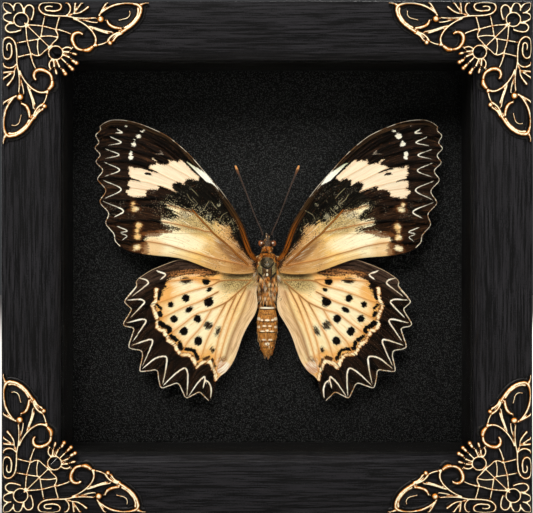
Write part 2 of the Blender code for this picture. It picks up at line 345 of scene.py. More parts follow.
# ----------------------------------------------------- back panel and its tabs
# A brown hardboard panel closes the box. Four thin steel tabs, pressed into
# the rebate, are bent down over its edge.
panel = block("panel", *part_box("back_panel"))
ease(panel, 0.0003)
hard = Finish("brown_hardboard", Specular_IOR_Level=0.4)
pulp = hard.noise(hard.place(0.9), detail=6, rough=0.7)
patch = hard.noise(hard.place(0.05), detail=3)
tone = hard.tones(pulp, 0.3, 0.7, (74, 52, 36), (122, 90, 62))
hard.colour(hard.mix(patch.rise(0.35, 0.7) * 0.5, tone, tint(92, 64, 44)))
hard.rough(0.5 + pulp * 0.35)
hard.relief(pulp, strength=0.25, distance=0.0001)
panel.data.materials.append(hard.material)
hand_over(panel, "hardboard", "back_panel")

steel = Finish("tab_steel", Metallic=1.0)
rolled = steel.noise(steel.place(6, 0.3, 0.3), detail=3)
steel.colour(steel.mix(rolled, tint(150, 150, 148), tint(196, 195, 190)))
steel.rough(0.28 + rolled * 0.3)
for side, (ox, oz) in SIDES.items():
    low, high = (Vector(c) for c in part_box("back_tab_" + side))
    tab = block("tab_" + side, low, high)
    tip, to_tip, to_side = Vector((-ox, 0, -oz)), 0.0032, 0.0021
    for corner in (-1, 1):
        across = Vector((oz, 0, ox)) * corner
        saw(tab, (low + high) / 2 + tip * to_tip + across * to_side, (tip + across).normalized())
    ease(tab, 0.0001)
    tab.data.materials.append(steel.material)
    hand_over(tab, "steel", "back_tab_" + side)

# ------------------------------------------------------------ saw-tooth hanger
# A stamped strip of brass-plated steel with a row of teeth, held to the back
# of the top rail by two round-headed nails.
plated = Finish("plated_steel", Metallic=1.0)
wear = plated.noise(plated.place(0.8), detail=5, rough=0.65)
plated.colour(plated.tones(wear, 0.35, 0.7, (150, 124, 78), (205, 180, 124)))
plated.rough(0.24 + wear * 0.3)
low, high = (Vector(c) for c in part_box("saw_hanger"))
hanger = block("hanger", low, high)
TEETH, PITCH = 11, 0.002
for i in range(TEETH):
    bpy.ops.mesh.primitive_cylinder_add(vertices=3, radius=0.00125, depth=0.01,
                                        location=(-0.0105 + PITCH * i, high.y, low.z),
                                        rotation=(math.radians(90), 0, 0))
    notch = bpy.context.object
    cut = hanger.modifiers.new("tooth", "BOOLEAN")
    cut.object, cut.operation = notch, "DIFFERENCE"
    apply_all(hanger)
    bpy.data.objects.remove(notch, do_unlink=True)
ease(hanger, 0.00012)
hanger.data.materials.append(plated.material)
hand_over(hanger, "hanger_steel", "saw_hanger")
for side, sign in (("left", -1), ("right", 1)):
    bpy.ops.mesh.primitive_uv_sphere_add(segments=24, ring_count=14, radius=0.0015,
                                         location=(sign * 0.016, REAR + 0.0011, HIGH - 0.0052))
    nail = bpy.context.object
    nail.name = nail.data.name = "nail_" + side
    nail.scale = (1.0, 0.45, 1.0)
    bpy.ops.object.transform_apply(location=True, rotation=True, scale=True)
    saw(nail, (0, REAR + 0.00095, 0), (0, -1, 0))
    bpy.ops.object.shade_smooth_by_angle(angle=math.radians(40))
    nail.data.materials.append(plated.material)
    hand_over(nail, "hanger_steel", "hanger_nail_" + side)

# ----------------------------------------------------------- corner filigrees
# Four brass castings with an antique gilt finish, pinned flat on the mitres: the ridges
# rubbed bright and given a painted highlight where they face the front, the flanks painted
# darker as shade, the recesses dark patina and painted shade. Each is a flower, a web
# and a shell on the corner's diagonal, with a scrolled arm along either rail.

# places here are millimetres along a rail from the corner, and in from the edge
FACE_SEAT = FRONT - 0.0001      # the back of the castings
ARMS = {"tl": (1.0, 0.969), "tr": (0.975, 0.955), "bl": (0.980, 0.948), "br": (0.983, 0.942)}

# each stroke: half width at its start, middle and end, and its points
ARM_STROKES = [
    # flower petals
    ((0.20, 0.24, 0.20), [(3.2, 2.7), (3.2, 1.5), (4.15, 0.5), (5.1, 1.3), (5.5, 2.7)]),
    ((0.20, 0.24, 0.22), [(5.75, 3.0), (6.0, 1.75), (6.95, 1.15), (7.9, 1.85), (7.95, 3.2),
                          (7.45, 5.0)]),
    # oval spiral and the stem that it grows from
    ((0.16, 0.30, 0.18), [(23.2, 4.35), (21, 4.5), (18.2, 4.35), (16, 3.95), (13, 3.85),
                          (11, 3.55), (9.8, 2.85), (9.3, 1.75), (9.9, 0.75), (11.5, 0.35),
                          (13.4, 0.45), (14.7, 1.2), (14.6, 2.05), (13.6, 2.6), (12, 2.6),
                          (10.9, 2.3), (10.9, 1.75), (11.7, 1.45), (12.7, 1.6)]),
    # fan of fronds above the stem
    ((0.14, 0.26, 0.36), [(15.9, 3.8), (16.7, 3.1), (17.0, 1.95), (16.6, 0.9), (16.0, 0.35)]),
    ((0.14, 0.22, 0.36), [(17.9, 2.9), (18.05, 1.8), (18.25, 0.45)]),
    ((0.14, 0.22, 0.36), [(18.4, 2.5), (19.3, 1.2), (19.8, 0.45)]),
    ((0.14, 0.22, 0.34), [(17.6, 3.3), (18.9, 3.2), (20.1, 2.6), (21.2, 1.75)]),
    # stalk from the ball to the frame's edge
    ((0.20, 0.26, 0.30), [(23.9, 3.9), (25.0, 1.9), (26.0, 0.35)]),
    # teardrop loop, its end knob, and the leaf inside it
    ((0.22, 0.46, 0.44), [(24.1, 3.5), (25.5, 2.35), (27.2, 1.4), (29, 0.85), (31, 0.62),
                          (33, 0.95), (34.1, 1.75), (34.1, 3.0), (33.4, 4.7), (32.1, 6.2),
                          (30.6, 7.3), (29.4, 8.1)]),
    ((0.22, 0.40, 0.30), [(33.4, 1.9), (33.5, 3.2), (32.6, 5.0), (31.4, 6.2), (30.0, 7.0)]),
    ((0.30, 0.34, 0.42), [(33.6, 1.3), (34.8, 0.75), (35.7, 0.45)]),
    ((0.22, 0.52, 0.32), [(25.9, 4.9), (26.5, 6.1), (27.9, 6.85), (29.6, 7.1)]),
    ((0.08, 0.12, 0.08), [(28.7, 4.95), (30, 4.65), (30.9, 4.35), (31.5, 3.5), (31.4, 2.5)]),
    # outer stroke, link and the leaf strokes between loop and scroll
    ((0.34, 0.30, 0.30), [(29.7, 7.9), (28.3, 8.3), (27.2, 8.9), (26.3, 9.9), (26.0, 10.6)]),
    ((0.34, 0.26, 0.34), [(29.8, 8.2), (28.6, 8.8), (27.9, 9.5), (27.4, 10.3)]),
    ((0.18, 0.20, 0.20), [(26.1, 10.35), (24.8, 10.95), (23.4, 11.3)]),
    ((0.12, 0.17, 0.14), [(21.0, 6.3), (23, 6.9), (25, 7.55), (27.3, 8.0)]),
    ((0.10, 0.14, 0.10), [(22.4, 7.0), (24.2, 7.7), (26.2, 8.35)]),
    ((0.12, 0.16, 0.10), [(20.6, 5.05), (22.0, 5.4), (23.6, 5.6)]),
    # large C-scroll
    ((0.14, 0.26, 0.36), [(17.6, 4.6), (18.8, 5.05), (20.2, 5.85), (21.6, 7.0), (22.7, 8.4),
                          (23.2, 9.8), (23.0, 11.0), (22.4, 11.9)]),
    ((0.42, 0.62, 0.40), [(22.6, 11.6), (21.4, 12.5), (20.2, 12.6)]),
    ((0.34, 0.56, 0.24), [(20.0, 12.55), (18.8, 12.2), (17.9, 11.15), (17.5, 9.9), (17.7, 8.8),
                          (18.6, 8.15), (19.6, 8.25), (20.1, 8.65)]),
    # web between flower and shell
    ((0.16, 0.17, 0.17), [(6.6, 6.1), (10.2, 6.45), (13.1, 7.2), (14.7, 7.5)]),
    ((0.22, 0.16, 0.12), [(14.2, 7.4), (16, 7.95), (17.2, 8.5)]),
    ((0.14, 0.17, 0.14), [(10.6, 4.3), (10.2, 6.45), (9.85, 8.6), (9.7, 9.5)]),
    ((0.14, 0.17, 0.14), [(14.2, 4.4), (13.8, 5.8), (13.5, 7.2)]),
    ((0.16, 0.18, 0.16), [(13.2, 7.3), (13.85, 8.5), (13.85, 9.4), (12.9, 10.5), (11.9, 11.6)]),
    ((0.14, 0.16, 0.14), [(9.8, 9.05), (12.0, 8.95), (13.6, 9.2)]),
    # shell: short rays by the ring, and curls at its side
    ((0.24, 0.26, 0.34), [(15.1, 12.9), (16.8, 13.05)]),
    ((0.22, 0.26, 0.34), [(15.05, 13.6), (16.9, 14.4)]),
    ((0.18, 0.24, 0.32), [(14.9, 12.4), (15.8, 11.85), (16.9, 11.95), (17.4, 12.3)]),
]
DIAGONAL_STROKES = [
    ((0.20, 0.24, 0.20), [(3.05, 1.95), (2.5, 1.15), (1.3, 0.42), (0.55, 0.55), (0.42, 1.3),
                          (1.15, 2.5), (1.95, 3.05)]),
    ((0.18, 0.18, 0.18), [(6.3, 6.2), (9.6, 9.5), (12.2, 12.1)]),
    ((0.16, 0.20, 0.26), [(14.6, 14.4), (16.0, 15.8)]),
]
# low webs that carry what would otherwise stand alone
ARM_WEBS = [
    ((0.2, 0.2, 0.2), [(16.6, 13.0), (18.3, 13.6)]),
    ((0.2, 0.24, 0.2), [(16.8, 14.3), (17.75, 15.35), (18.5, 15.8)]),
    ((0.16, 0.2, 0.3), [(22.8, 4.4), (24.4, 4.75)]),
    ((0.16, 0.16, 0.16), [(18.9, 4.5), (20.8, 5.1)]),
    ((0.16, 0.16, 0.16), [(23.3, 5.55), (24.2, 5.0)]),
    ((0.16, 0.16, 0.16), [(20.1, 5.8), (21.4, 6.45)]),
    ((0.16, 0.16, 0.16), [(21.4, 6.8), (22.8, 7.15)]),
    ((0.16, 0.16, 0.16), [(26.0, 8.3), (27.3, 8.1), (28.6, 8.2)]),
    ((0.2, 0.2, 0.2), [(24.6, 4.8), (26.1, 5.0)]),
    ((0.16, 0.16, 0.16), [(10.8, 3.4), (10.5, 4.6)]),
    ((0.16, 0.16, 0.16), [(14.8, 3.8), (14.1, 4.7)]),
    ((0.14, 0.14, 0.14), [(16.9, 8.35), (17.9, 9.0)]),
    ((0.2, 0.2, 0.2), [(16.2, 4.0), (17.7, 3.2), (18.6, 2.3)]),
    ((0.2, 0.2, 0.2), [(17.8, 3.3), (17.95, 2.3)]),
]
DIAGONAL_WEBS = [((0.24, 0.24, 0.24), [(15.8, 15.6), (16.9, 16.7), (17.5, 17.3)])]
WEB_LIFT, RING_LIFT = 0.24, 0.62
SWELL, CAST_EDGE = 1.12, 0.085      # what casting adds to a stroke's half width
RINGS = [((4.95, 4.85), 1.78, 0.26), ((13.4, 13.2), 1.72, 0.27)]
# beads: place, half width, half length, and the way the long side points
ARM_BEADS = [
    ((24.4, 4.75), 0.98, 0.98, 0), ((26.7, 10.75), 0.72, 0.72, 0), ((23.3, 11.35), 0.46, 0.46, 0),
    ((35.75, 0.55), 0.42, 0.6, -20), ((18.0, 13.5), 0.42, 0.85, 15), ((17.75, 15.35), 0.5, 0.8, 30),
    ((18.5, 15.8), 0.68, 0.68, 0), ((10.2, 6.45), 0.32, 0.32, 0), ((13.3, 7.25), 0.3, 0.3, 0),
    ((14.3, 7.4), 0.30, 0.5, 10), ((20.15, 12.6), 0.36, 0.36, 0),
    ((16.0, 0.55), 0.42, 0.42, 0), ((18.25, 0.6), 0.40, 0.40, 0), ((19.85, 0.6), 0.40, 0.40, 0),
    ((21.3, 1.7), 0.40, 0.46, -35), ((26.05, 0.5), 0.38, 0.38, 0),
]
DIAGONAL_BEADS = [((16.9, 16.7), 0.5, 0.85, 45), ((17.5, 17.3), 0.66, 0.66, 0),
                  ((12.2, 12.05), 0.34, 0.34, 0), ((9.6, 9.5), 0.3, 0.3, 0),
                  ((5.9, 5.8), 0.36, 0.36, 0)]
# thin plates behind the strokes, dark with the recess patina and painted shade
ARM_PLATES = [
    [(31.6, 1.7), (32.9, 2.4), (33.0, 4.15), (31.9, 5.7), (30.0, 6.75), (28.3, 6.6), (28.0, 5.75),
     (28.8, 4.95), (30, 4.65), (30.9, 4.35), (31.5, 3.5), (31.4, 2.5)],
    [(3.2, 2.7), (3.2, 1.5), (4.15, 0.5), (5.1, 1.3), (5.5, 2.7), (4.9, 3.2)],
    [(5.75, 3.0), (6.0, 1.75), (6.95, 1.15), (7.9, 1.85), (7.95, 3.2), (7.45, 5.0), (6.6, 4.6)],
    [(10.1, 6.5), (13.0, 7.2), (13.8, 8.5), (13.7, 9.2), (9.8, 9.1)],
    [(9.8, 9.1), (13.7, 9.2), (12.9, 10.5), (11.9, 11.6), (9.7, 9.5)],
    [(6.7, 6.2), (10.1, 6.5), (9.8, 9.4), (9.5, 9.5)],
    [(18.7, 7.6), (20.5, 6.5), (21.0, 7.1), (19.2, 8.3)],
    [(33.3, 1.1), (34.2, 1.4), (34.2, 2.9), (33.3, 4.9), (33.0, 4.0), (33.3, 2.6)],
]
DIAGONAL_PLATES = [[(3.05, 1.95), (2.5, 1.15), (1.3, 0.42), (0.55, 0.55), (0.42, 1.3),
                    (1.15, 2.5), (1.95, 3.05), (3.4, 3.4)]]


def mirrored(points):
    return [(b, a) for a, b in points]


def places_of(piece):
    """The places of its vertices, one row each."""
    spots = np.empty(len(piece.data.vertices) * 3)
    piece.data.vertices.foreach_get("co", spots)
    return spots.reshape(-1, 3)


def face_outwards(piece):
    """Turns all faces of a closed piece outwards."""
    drop(piece)
    bpy.ops.object.mode_set(mode="EDIT")
    bpy.ops.mesh.select_all(action="SELECT")
    bpy.ops.mesh.normals_make_consistent(inside=False)
    bpy.ops.object.mode_set(mode="OBJECT")


def twin(piece):
    """A copy with a mesh of its own."""
    copy = piece.copy()
    copy.data = piece.data.copy()
    bpy.context.scene.collection.objects.link(copy)
    return copy


def domed_section():
    """The cross section of a cast ridge: upright flanks under a rounded top."""
    bpy.ops.curve.primitive_bezier_circle_add(radius=1.0)
    section = bpy.context.object
    section.data.dimensions = "2D"
    section.data.splines.clear()
    spline = section.data.splines.new("POLY")
    shape = [(-2.1, -2.3), (2.1, -2.3), (2.0, -0.95), (1.2, -0.6), (0.95, 0.4), (0.5, 1.0),
             (0.0, 1.25), (-0.5, 1.0), (-0.95, 0.4), (-1.2, -0.6), (-2.0, -0.95)]
    spline.points.add(len(shape) - 1)
    for point, (x, y) in zip(spline.points, shape):
        point.co = (x, y, 0.0, 1.0)
    spline.use_cyclic_u = True
    return section


def draw_ridges(section, strokes, rings, low=False):
    """All strokes and rings as one curve in the XY plane, swept with the section."""
    bpy.ops.curve.primitive_bezier_curve_add()
    drawing = bpy.context.object
    data = drawing.data
    data.dimensions, data.twist_mode = "3D", "Z_UP"
    data.resolution_u, data.use_fill_caps = 5, True
    data.bevel_mode, data.bevel_object = "OBJECT", section
    data.splines.clear()
    for (start, middle, end), points in strokes:
        spline = data.splines.new("BEZIER")
        spline.bezier_points.add(len(points) - 1)
        lift = WEB_LIFT if low else max(1.16 * max(start, middle, end), 0.5)
        for i, (knot, (u, v)) in enumerate(zip(spline.bezier_points, points)):
            width = np.interp(i / (len(points) - 1), (0, 0.5, 1), (start, middle, end))
            knot.co, knot.radius = (u, v, lift), width * SWELL + CAST_EDGE
            knot.handle_left_type = knot.handle_right_type = "AUTO"
    for (u, v), radius, width in rings:
        spline = data.splines.new("BEZIER")
        spline.bezier_points.add(7)
        for i, knot in enumerate(spline.bezier_points):
            angle = math.tau * i / 8
            knot.co = (u + radius * math.cos(angle), v + radius * math.sin(angle), RING_LIFT)
            knot.radius = width
            knot.handle_left_type = knot.handle_right_type = "AUTO"
        spline.use_cyclic_u = True
    bpy.ops.object.convert(target="MESH")
    return bpy.context.object


def add_bead(place, wide, long, angle):
    bpy.ops.mesh.primitive_uv_sphere_add(segments=20, ring_count=12, radius=1.0,
                                         location=(*place, min(0.62, 1.7 - wide)))
    bead = bpy.context.object
    bead.scale = (long, wide, min(wide * 1.1, 0.95))
    bead.rotation_euler = (0, 0, math.radians(angle))
    return bead


def add_plate(points):
    bpy.ops.mesh.primitive_circle_add(vertices=len(points), radius=1.0, fill_type="NGON")
    plate = bpy.context.object
    for vert, (u, v) in zip(plate.data.vertices, points):
        vert.co = (u, v, 0.0)
    bpy.ops.object.mode_set(mode="EDIT")
    bpy.ops.mesh.select_all(action="SELECT")
    bpy.ops.mesh.normals_make_consistent(inside=False)
    bpy.ops.mesh.extrude_region_move(TRANSFORM_OT_translate={"value": (0, 0, 0.36)})
    bpy.ops.mesh.select_all(action="SELECT")
    bpy.ops.mesh.normals_make_consistent(inside=False)
    bpy.ops.object.mode_set(mode="OBJECT")
    return plate


def cast_filigree():
    """One casting in millimetres, its arms along +X and +Y, its face up."""
    section = domed_section()
    strokes = ARM_STROKES + [(w, mirrored(p)) for w, p in ARM_STROKES] + DIAGONAL_STROKES
    webs = ARM_WEBS + [(w, mirrored(p)) for w, p in ARM_WEBS] + DIAGONAL_WEBS
    parts = [draw_ridges(section, strokes, RINGS), draw_ridges(section, webs, [], low=True)]
    for place, wide, long, angle in ARM_BEADS:
        parts.append(add_bead(place, wide, long, angle))
        parts.append(add_bead(place[::-1], wide, long, 90 - angle))
    parts += [add_bead(*bead) for bead in DIAGONAL_BEADS]
    for points in ARM_PLATES:
        parts += [add_plate(points), add_plate(mirrored(points))]
    parts += [add_plate(points) for points in DIAGONAL_PLATES]
    bpy.data.objects.remove(section, do_unlink=True)
    bpy.ops.object.select_all(action="DESELECT")
    for part in parts:
        part.select_set(True)
    bpy.context.view_layer.objects.active = parts[0]
    bpy.ops.object.join()
    bpy.ops.object.transform_apply(location=True, rotation=True, scale=True)
    casting = bpy.context.object
    fuse = casting.modifiers.new("fuse", "REMESH")
    fuse.mode, fuse.voxel_size = "VOXEL", 0.118
    soften = casting.modifiers.new("soften", "SMOOTH")
    soften.factor, soften.iterations = 0.5, 2
    thin_out = casting.modifiers.new("thin_out", "DECIMATE")
    thin_out.ratio = 0.6
    for step in ("fuse", "soften", "thin_out"):
        bpy.ops.object.modifier_apply(modifier=step)
    bpy.ops.object.shade_smooth()
    return casting


gilt = Finish("antique_gilt", Specular_IOR_Level=0.3)
facing = -gilt.part(gilt.node("ShaderNodeTexCoord", {}, out=1), "y")
raised = FACE_SEAT / MM - gilt.part(gilt.place(), "y")
tarnish = gilt.noise(gilt.place(1.5), detail=5, rough=0.65)
pit = gilt.noise(gilt.place(4.0), detail=3, rough=0.6)
# painted highlight with real wear: raised faces turned to the front go pale, as rubbed gilt
rubbed_and_highlit = (facing + (tarnish - 0.5) * 0.55).rise(0.85, 0.96)
rubbed_and_highlit = rubbed_and_highlit * (raised + (pit - 0.5) * 0.35).rise(0.42, 0.8)
# painted shade: flanks turned away from the front go near black, those facing it orange
flank_shade = (facing * 0.8 + raised * 0.2 + (tarnish - 0.5) * 0.25).rise(0.66, 0.9)
metal = gilt.mix(flank_shade, tint(12, 8, 3), tint(206, 122, 26))
metal = gilt.mix(rubbed_and_highlit, metal, tint(255, 249, 212))
# dark patina and painted shade: everything low on the casting, plates and stroke skirts too, goes
# near black as an outline
recess_patina_and_shade = gilt.tones(pit, 0.4, 0.6, (4, 4, 4), (36, 34, 33))
metal = gilt.mix((raised + (tarnish - 0.5) * 0.15).rise(0.56, 0.44), metal, recess_patina_and_shade)
gilt.colour(metal)
gilt.rough(0.5 - rubbed_and_highlit * 0.2)
gilt.plug(gilt.shader.inputs["Metallic"], 0.5 - rubbed_and_highlit * 0.45)
gilt.relief(tarnish * 0.6 + pit * 0.4, strength=0.35, distance=0.00008)

EDGE_BAND = 0.0008      # strokes this near the outer edge are pressed in by half


def pressed_in(far):
    """Keeps the outermost strokes inside the frame's edge."""
    return np.where(far < EDGE_BAND, EDGE_BAND - (EDGE_BAND - far) * 0.5, far)


casting = cast_filigree()
for corner, (level, upright) in ARMS.items():
    piece = twin(casting)
    piece.name = piece.data.name = "casting_" + corner
    sx, sz = (-1 if corner[1] == "l" else 1), (1 if corner[0] == "t" else -1)
    u, v, up = places_of(piece).T * MM
    placed = np.stack([sx * (WIDE / 2 - pressed_in(u * level)), FACE_SEAT - np.maximum(up, 0.0),
                       MIDDLE + sz * (HIGH / 2 - pressed_in(v * upright))], axis=1)
    piece.data.vertices.foreach_set("co", placed.ravel())
    face_outwards(piece)
    piece.data.materials.clear()
    piece.data.materials.append(gilt.material)
    hand_over(piece, "antique_brass", "filigree_" + corner)
bpy.data.objects.remove(casting, do_unlink=True)

# ------------------------------------------------------------------ forewings
# A stiff dry membrane 0.1 mm thick, braced by raised veins and covered in
# scales. The two are spread in front of the hindwings and set in the thorax.
# Places are millimetres of the left wing: across from the body's axis, and up.
FORE_COSTA = [(-3.0, 0.4), (-3.9, 1.6), (-4.7, 4.1), (-6.1, 8.2), (-8.6, 12.4), (-11.9, 17.1),
              (-15.8, 21.6), (-20, 26.3), (-23.6, 29.5), (-25.8, 31.1), (-30, 33.1), (-33.9, 34.5),
              (-37.5, 35.1), (-40, 35.0), (-41.9, 34.2), (-42.9, 33.4)]
FORE_MARGIN = [(-42.9, 33.4), (-42.8, 32.5), (-44.0, 31.1), (-43.2, 29.3), (-44.2, 27.9),
               (-42.9, 26.1), (-43.9, 24.3), (-42.2, 22.1), (-43.5, 19.9), (-41.4, 17.0),
               (-42.9, 14.1), (-40.7, 11.1), (-41.4, 8.6), (-39.3, 5.7), (-39.0, 4.1), (-37.8, 2.7)]
FORE_INNER = [(-2.9, -3.9), (-4.4, -4.2), (-6.1, -4.4), (-8.3, -4.4), (-11.7, -4.0), (-15, -3.0),
              (-18.6, -1.6), (-21.9, -0.5), (-25, 0), (-28.3, 0.3), (-31.1, 0.6), (-33.9, 1.0),
              (-35.8, 1.6), (-37.8, 2.7)]
FORE_ROOT = [(-3.0, 0.4), (-2.5, -1.6), (-2.9, -3.9)]


def flowing(points, steps=8, loop=False):
    """Points along a smooth curve that passes through the given ones."""
    p = np.array(points, float)
    if loop:
        p = np.vstack([p[-1], p, p[0], p[1]])
    else:
        p = np.vstack([2 * p[0] - p[1], p, 2 * p[-1] - p[-2]])
    out = []
    for a, b, c, d in zip(p[:-3], p[1:-2], p[2:-1], p[3:]):
        t0, t1 = 0.0, max(np.linalg.norm(b - a) ** 0.5, 1e-6)
        t2 = t1 + max(np.linalg.norm(c - b) ** 0.5, 1e-6)
        t3 = t2 + max(np.linalg.norm(d - c) ** 0.5, 1e-6)
        t = np.linspace(t1, t2, steps, endpoint=False)[:, None]
        a1 = (t1 - t) / (t1 - t0) * a + (t - t0) / (t1 - t0) * b
        a2 = (t2 - t) / (t2 - t1) * b + (t - t1) / (t2 - t1) * c
        a3 = (t3 - t) / (t3 - t2) * c + (t - t2) / (t3 - t2) * d
        b1 = (t2 - t) / (t2 - t0) * a1 + (t - t0) / (t2 - t0) * a2
        b2 = (t3 - t) / (t3 - t1) * a2 + (t - t1) / (t3 - t1) * a3
        out.append((t2 - t) / (t2 - t1) * b1 + (t - t1) / (t2 - t1) * b2)
    out = np.vstack(out)
    return out if loop else np.vstack([out, p[-2]])


def evenly(curve, parts):
    """Where the given parts (0 to 1) of a curve's length fall."""
    run = np.concatenate([[0], np.cumsum(np.linalg.norm(np.diff(curve, axis=0), axis=1))])
    return np.stack([np.interp(parts * run[-1], run, curve[:, i]) for i in (0, 1)], axis=-1)


def nearest(spots, curve, closed=False):
    """Distance from each spot to a curve, and which side of it the spot is on."""
    starts = curve if closed else curve[:-1]
    ends = np.roll(curve, -1, axis=0) if closed else curve[1:]
    best, side = np.full(len(spots), 1e9), np.ones(len(spots))
    for a, b in zip(starts, ends):
        ab, ap = b - a, spots - a
        part = np.clip(ap @ ab / max(ab @ ab, 1e-12), 0, 1)
        away = np.linalg.norm(ap - part[:, None] * ab, axis=1)
        closer = away < best
        best[closer] = away[closer]
        side[closer] = np.sign(ab[0] * ap[closer, 1] - ab[1] * ap[closer, 0])
    return best, side


def area(spots, outline, steps=4):
    """Distance to a closed outline, negative inside it."""
    ring = flowing(outline, steps, loop=True)
    inside = np.zeros(len(spots), bool)
    for (ax, az), (bx, bz) in zip(ring, np.roll(ring, -1, axis=0)):
        if az != bz:
            crosses = (spots[:, 1] < az) != (spots[:, 1] < bz)
            inside ^= crosses & (spots[:, 0] < (bx - ax) * (spots[:, 1] - az) / (bz - az) + ax)
    return nearest(spots, ring, closed=True)[0] * np.where(inside, -1, 1)


def ovals(spots, table):
    """Distance to the nearest of some ovals (x, z, half width, half height, turn)."""
    best = np.full(len(spots), 1e9)
    for x, z, wide, high, turn in table:
        c, s = math.cos(math.radians(turn)), math.sin(math.radians(turn))
        dx, dz = spots[:, 0] - x, spots[:, 1] - z
        u, v = (dx * c + dz * s) / wide, (dz * c - dx * s) / high
        best = np.minimum(best, (np.hypot(u, v) - 1) * min(wide, high))
    return best


def threads(spots, lines, steps=5):
    """For thin lines: the distance to the nearest, and the same signed by side."""
    best, signed = np.full(len(spots), 1e9), np.zeros(len(spots))
    for line in lines:
        away, side = nearest(spots, flowing(line, steps))
        closer = away < best
        best[closer], signed[closer] = away[closer], (away * side)[closer]
    return best, signed


def unfold(across, along):
    """A flat sheet of that many squares, and each vertex's parts across and along."""
    bpy.ops.object.select_all(action="DESELECT")
    bpy.ops.mesh.primitive_grid_add(x_subdivisions=along, y_subdivisions=across, size=1.0)
    sheet = bpy.context.object
    spots = places_of(sheet)
    return sheet, spots[:, 0] + 0.5, spots[:, 1] + 0.5


def drape(s, t, costa, margin, inner, root):
    """Fits a sheet between four edges: s runs root to margin, t costa to inner edge."""
    top, low = evenly(flowing(costa), s), evenly(flowing(inner), s)
    near, far = evenly(flowing(root), t), evenly(flowing(margin), t)
    s, t = s[:, None], t[:, None]
    c00, c10, c01, c11 = (np.array(c, float) for c in (costa[0], costa[-1], inner[0], inner[-1]))
    return ((1 - t) * top + t * low + (1 - s) * near + s * far
            - ((1 - s) * (1 - t) * c00 + s * (1 - t) * c10 + (1 - s) * t * c01 + s * t * c11))


def note(mesh, **values):
    """Keeps numbers or places with the vertices, for the finish to read."""
    for name, value in values.items():
        kind, slot = ("FLOAT_VECTOR", "vector") if value.ndim > 1 else ("FLOAT", "value")
        kept = mesh.attributes.new(name, kind, "POINT").data
        kept.foreach_set(slot, value.astype(np.float32).ravel())


def spread(sheet, name, x, y, z, lift, thick, flip):
    """Places a sheet's vertices, gives it its thickness and closes its edge."""
    sheet.name = sheet.data.name = name
    placed = np.stack([x * MM, (y + lift) * MM, MIDDLE + z * MM], axis=1)
    sheet.data.vertices.foreach_set("co", placed.ravel())
    drop(sheet)
    if flip:
        bpy.ops.object.mode_set(mode="EDIT")
        bpy.ops.mesh.select_all(action="SELECT")
        bpy.ops.mesh.flip_normals()
        bpy.ops.object.mode_set(mode="OBJECT")
    wall = sheet.modifiers.new("thickness", "SOLIDIFY")
    wall.thickness, wall.offset = thick * MM, 0.0
    bpy.ops.object.modifier_apply(modifier="thickness")
    bpy.ops.object.shade_smooth()
    sheet.data.update()


def lay_uv(sheet, s, t, length, width, start):
    """Keeps millimetres along and across the wing as its UV map."""
    corners = np.empty(len(sheet.data.loops), dtype=np.int32)
    sheet.data.loops.foreach_get("vertex_index", corners)
    uv = np.stack([s[corners] * length + start, t[corners] * width], axis=1)
    sheet.data.uv_layers.active.data.foreach_set("uv", uv.astype(np.float32).ravel())


class ScaleFinish(Finish):
    """The finish of a scaled wing: markings on a common set of streaks and specks."""

    def __init__(self, name):
        super().__init__(name, Specular_IOR_Level=0.03)
        flat = self.node("ShaderNodeUVMap", {"uv_map": "UVMap"})
        stretch = lambda u, v: self.node("ShaderNodeMapping", {}, flat, None, None, (u, v, 1.0))
        self.streak = self.noise(stretch(0.09, 1.5), detail=3, rough=0.65)
        self.hair = self.noise(stretch(0.3, 4.2), detail=2, rough=0.6)
        self.speck = self.noise(self.place(2.8), detail=2, rough=0.65)
        self.cloud = self.noise(self.place(0.32), detail=3, rough=0.55)
        self.stripe = self.streak * 0.55 + self.hair * 0.45
        self.grain = self.speck * 0.6 + self.hair * 0.4
        left = self.node("ShaderNodeAttribute", {"attribute_name": "left_place"}, out=1)
        self.x, self.z = self.part(left, "x"), self.part(left, "y")
        self.ragged = (self.streak - 0.5) * 1.2 + (self.hair - 0.5) * 0.7 + (self.speck - 0.5) * 0.9
        self.paint = None

    def over(self, mask, colour):
        """Lays a colour over what is there."""
        self.paint = self.mix(mask, self.paint, colour)

    def flecks(self, scale, size):
        """Small round specks where scales are missing or strayed."""
        cell = self.node("ShaderNodeTexVoronoi", {}, Vector=self.place(scale), Scale=1.0)
        return cell.rise(size + 0.08, size - 0.06)

    def within(self, name, soft=0.15, fray=1.0, grow=0.0):
        """Inside an area, with an edge as ragged as its scales."""
        edge = self.attribute(name) + self.ragged * fray
        return edge.rise(soft + grow, -soft + grow)

    def along(self, name, half, soft=0.1, fray=0.35):
        """On a thin line."""
        far = self.attribute(name + "_far")
        side = self.attribute(name + "_side").size() + self.ragged * fray * 0.4
        return (side - half).rise(soft, -soft) * (far - half).rise(0.5, 0.25)

    def blot(self, x, z, wide, high, turn=0.0, soft=1.0):
        """A soft oval patch."""
        c, s = math.cos(math.radians(turn)), math.sin(math.radians(turn))
        dx, dz = self.x - x, self.z - z
        u, v = (dx * c + dz * s) / wide, (dz * c - dx * s) / high
        return (u * u + v * v + self.ragged * 0.5).rise(1.0 + soft * 0.6, 1.0 - soft)

    def clothe(self, wing, left, right):
        """Lays the finished scales over a pair of wings."""
        self.colour(self.paint)
        self.rough(0.66 - self.speck * 0.14)
        veins = self.attribute("vein_far").rise(0.35, 0.0)
        self.relief(self.hair * 0.5 + self.speck * 0.4 + veins * 0.9, strength=0.5,
                    distance=0.00014)
        for membrane, side in ((left, "left"), (right, "right")):
            membrane.data.materials.append(self.material)
            hand_over(membrane, wing + "_scales", wing + "_" + side)


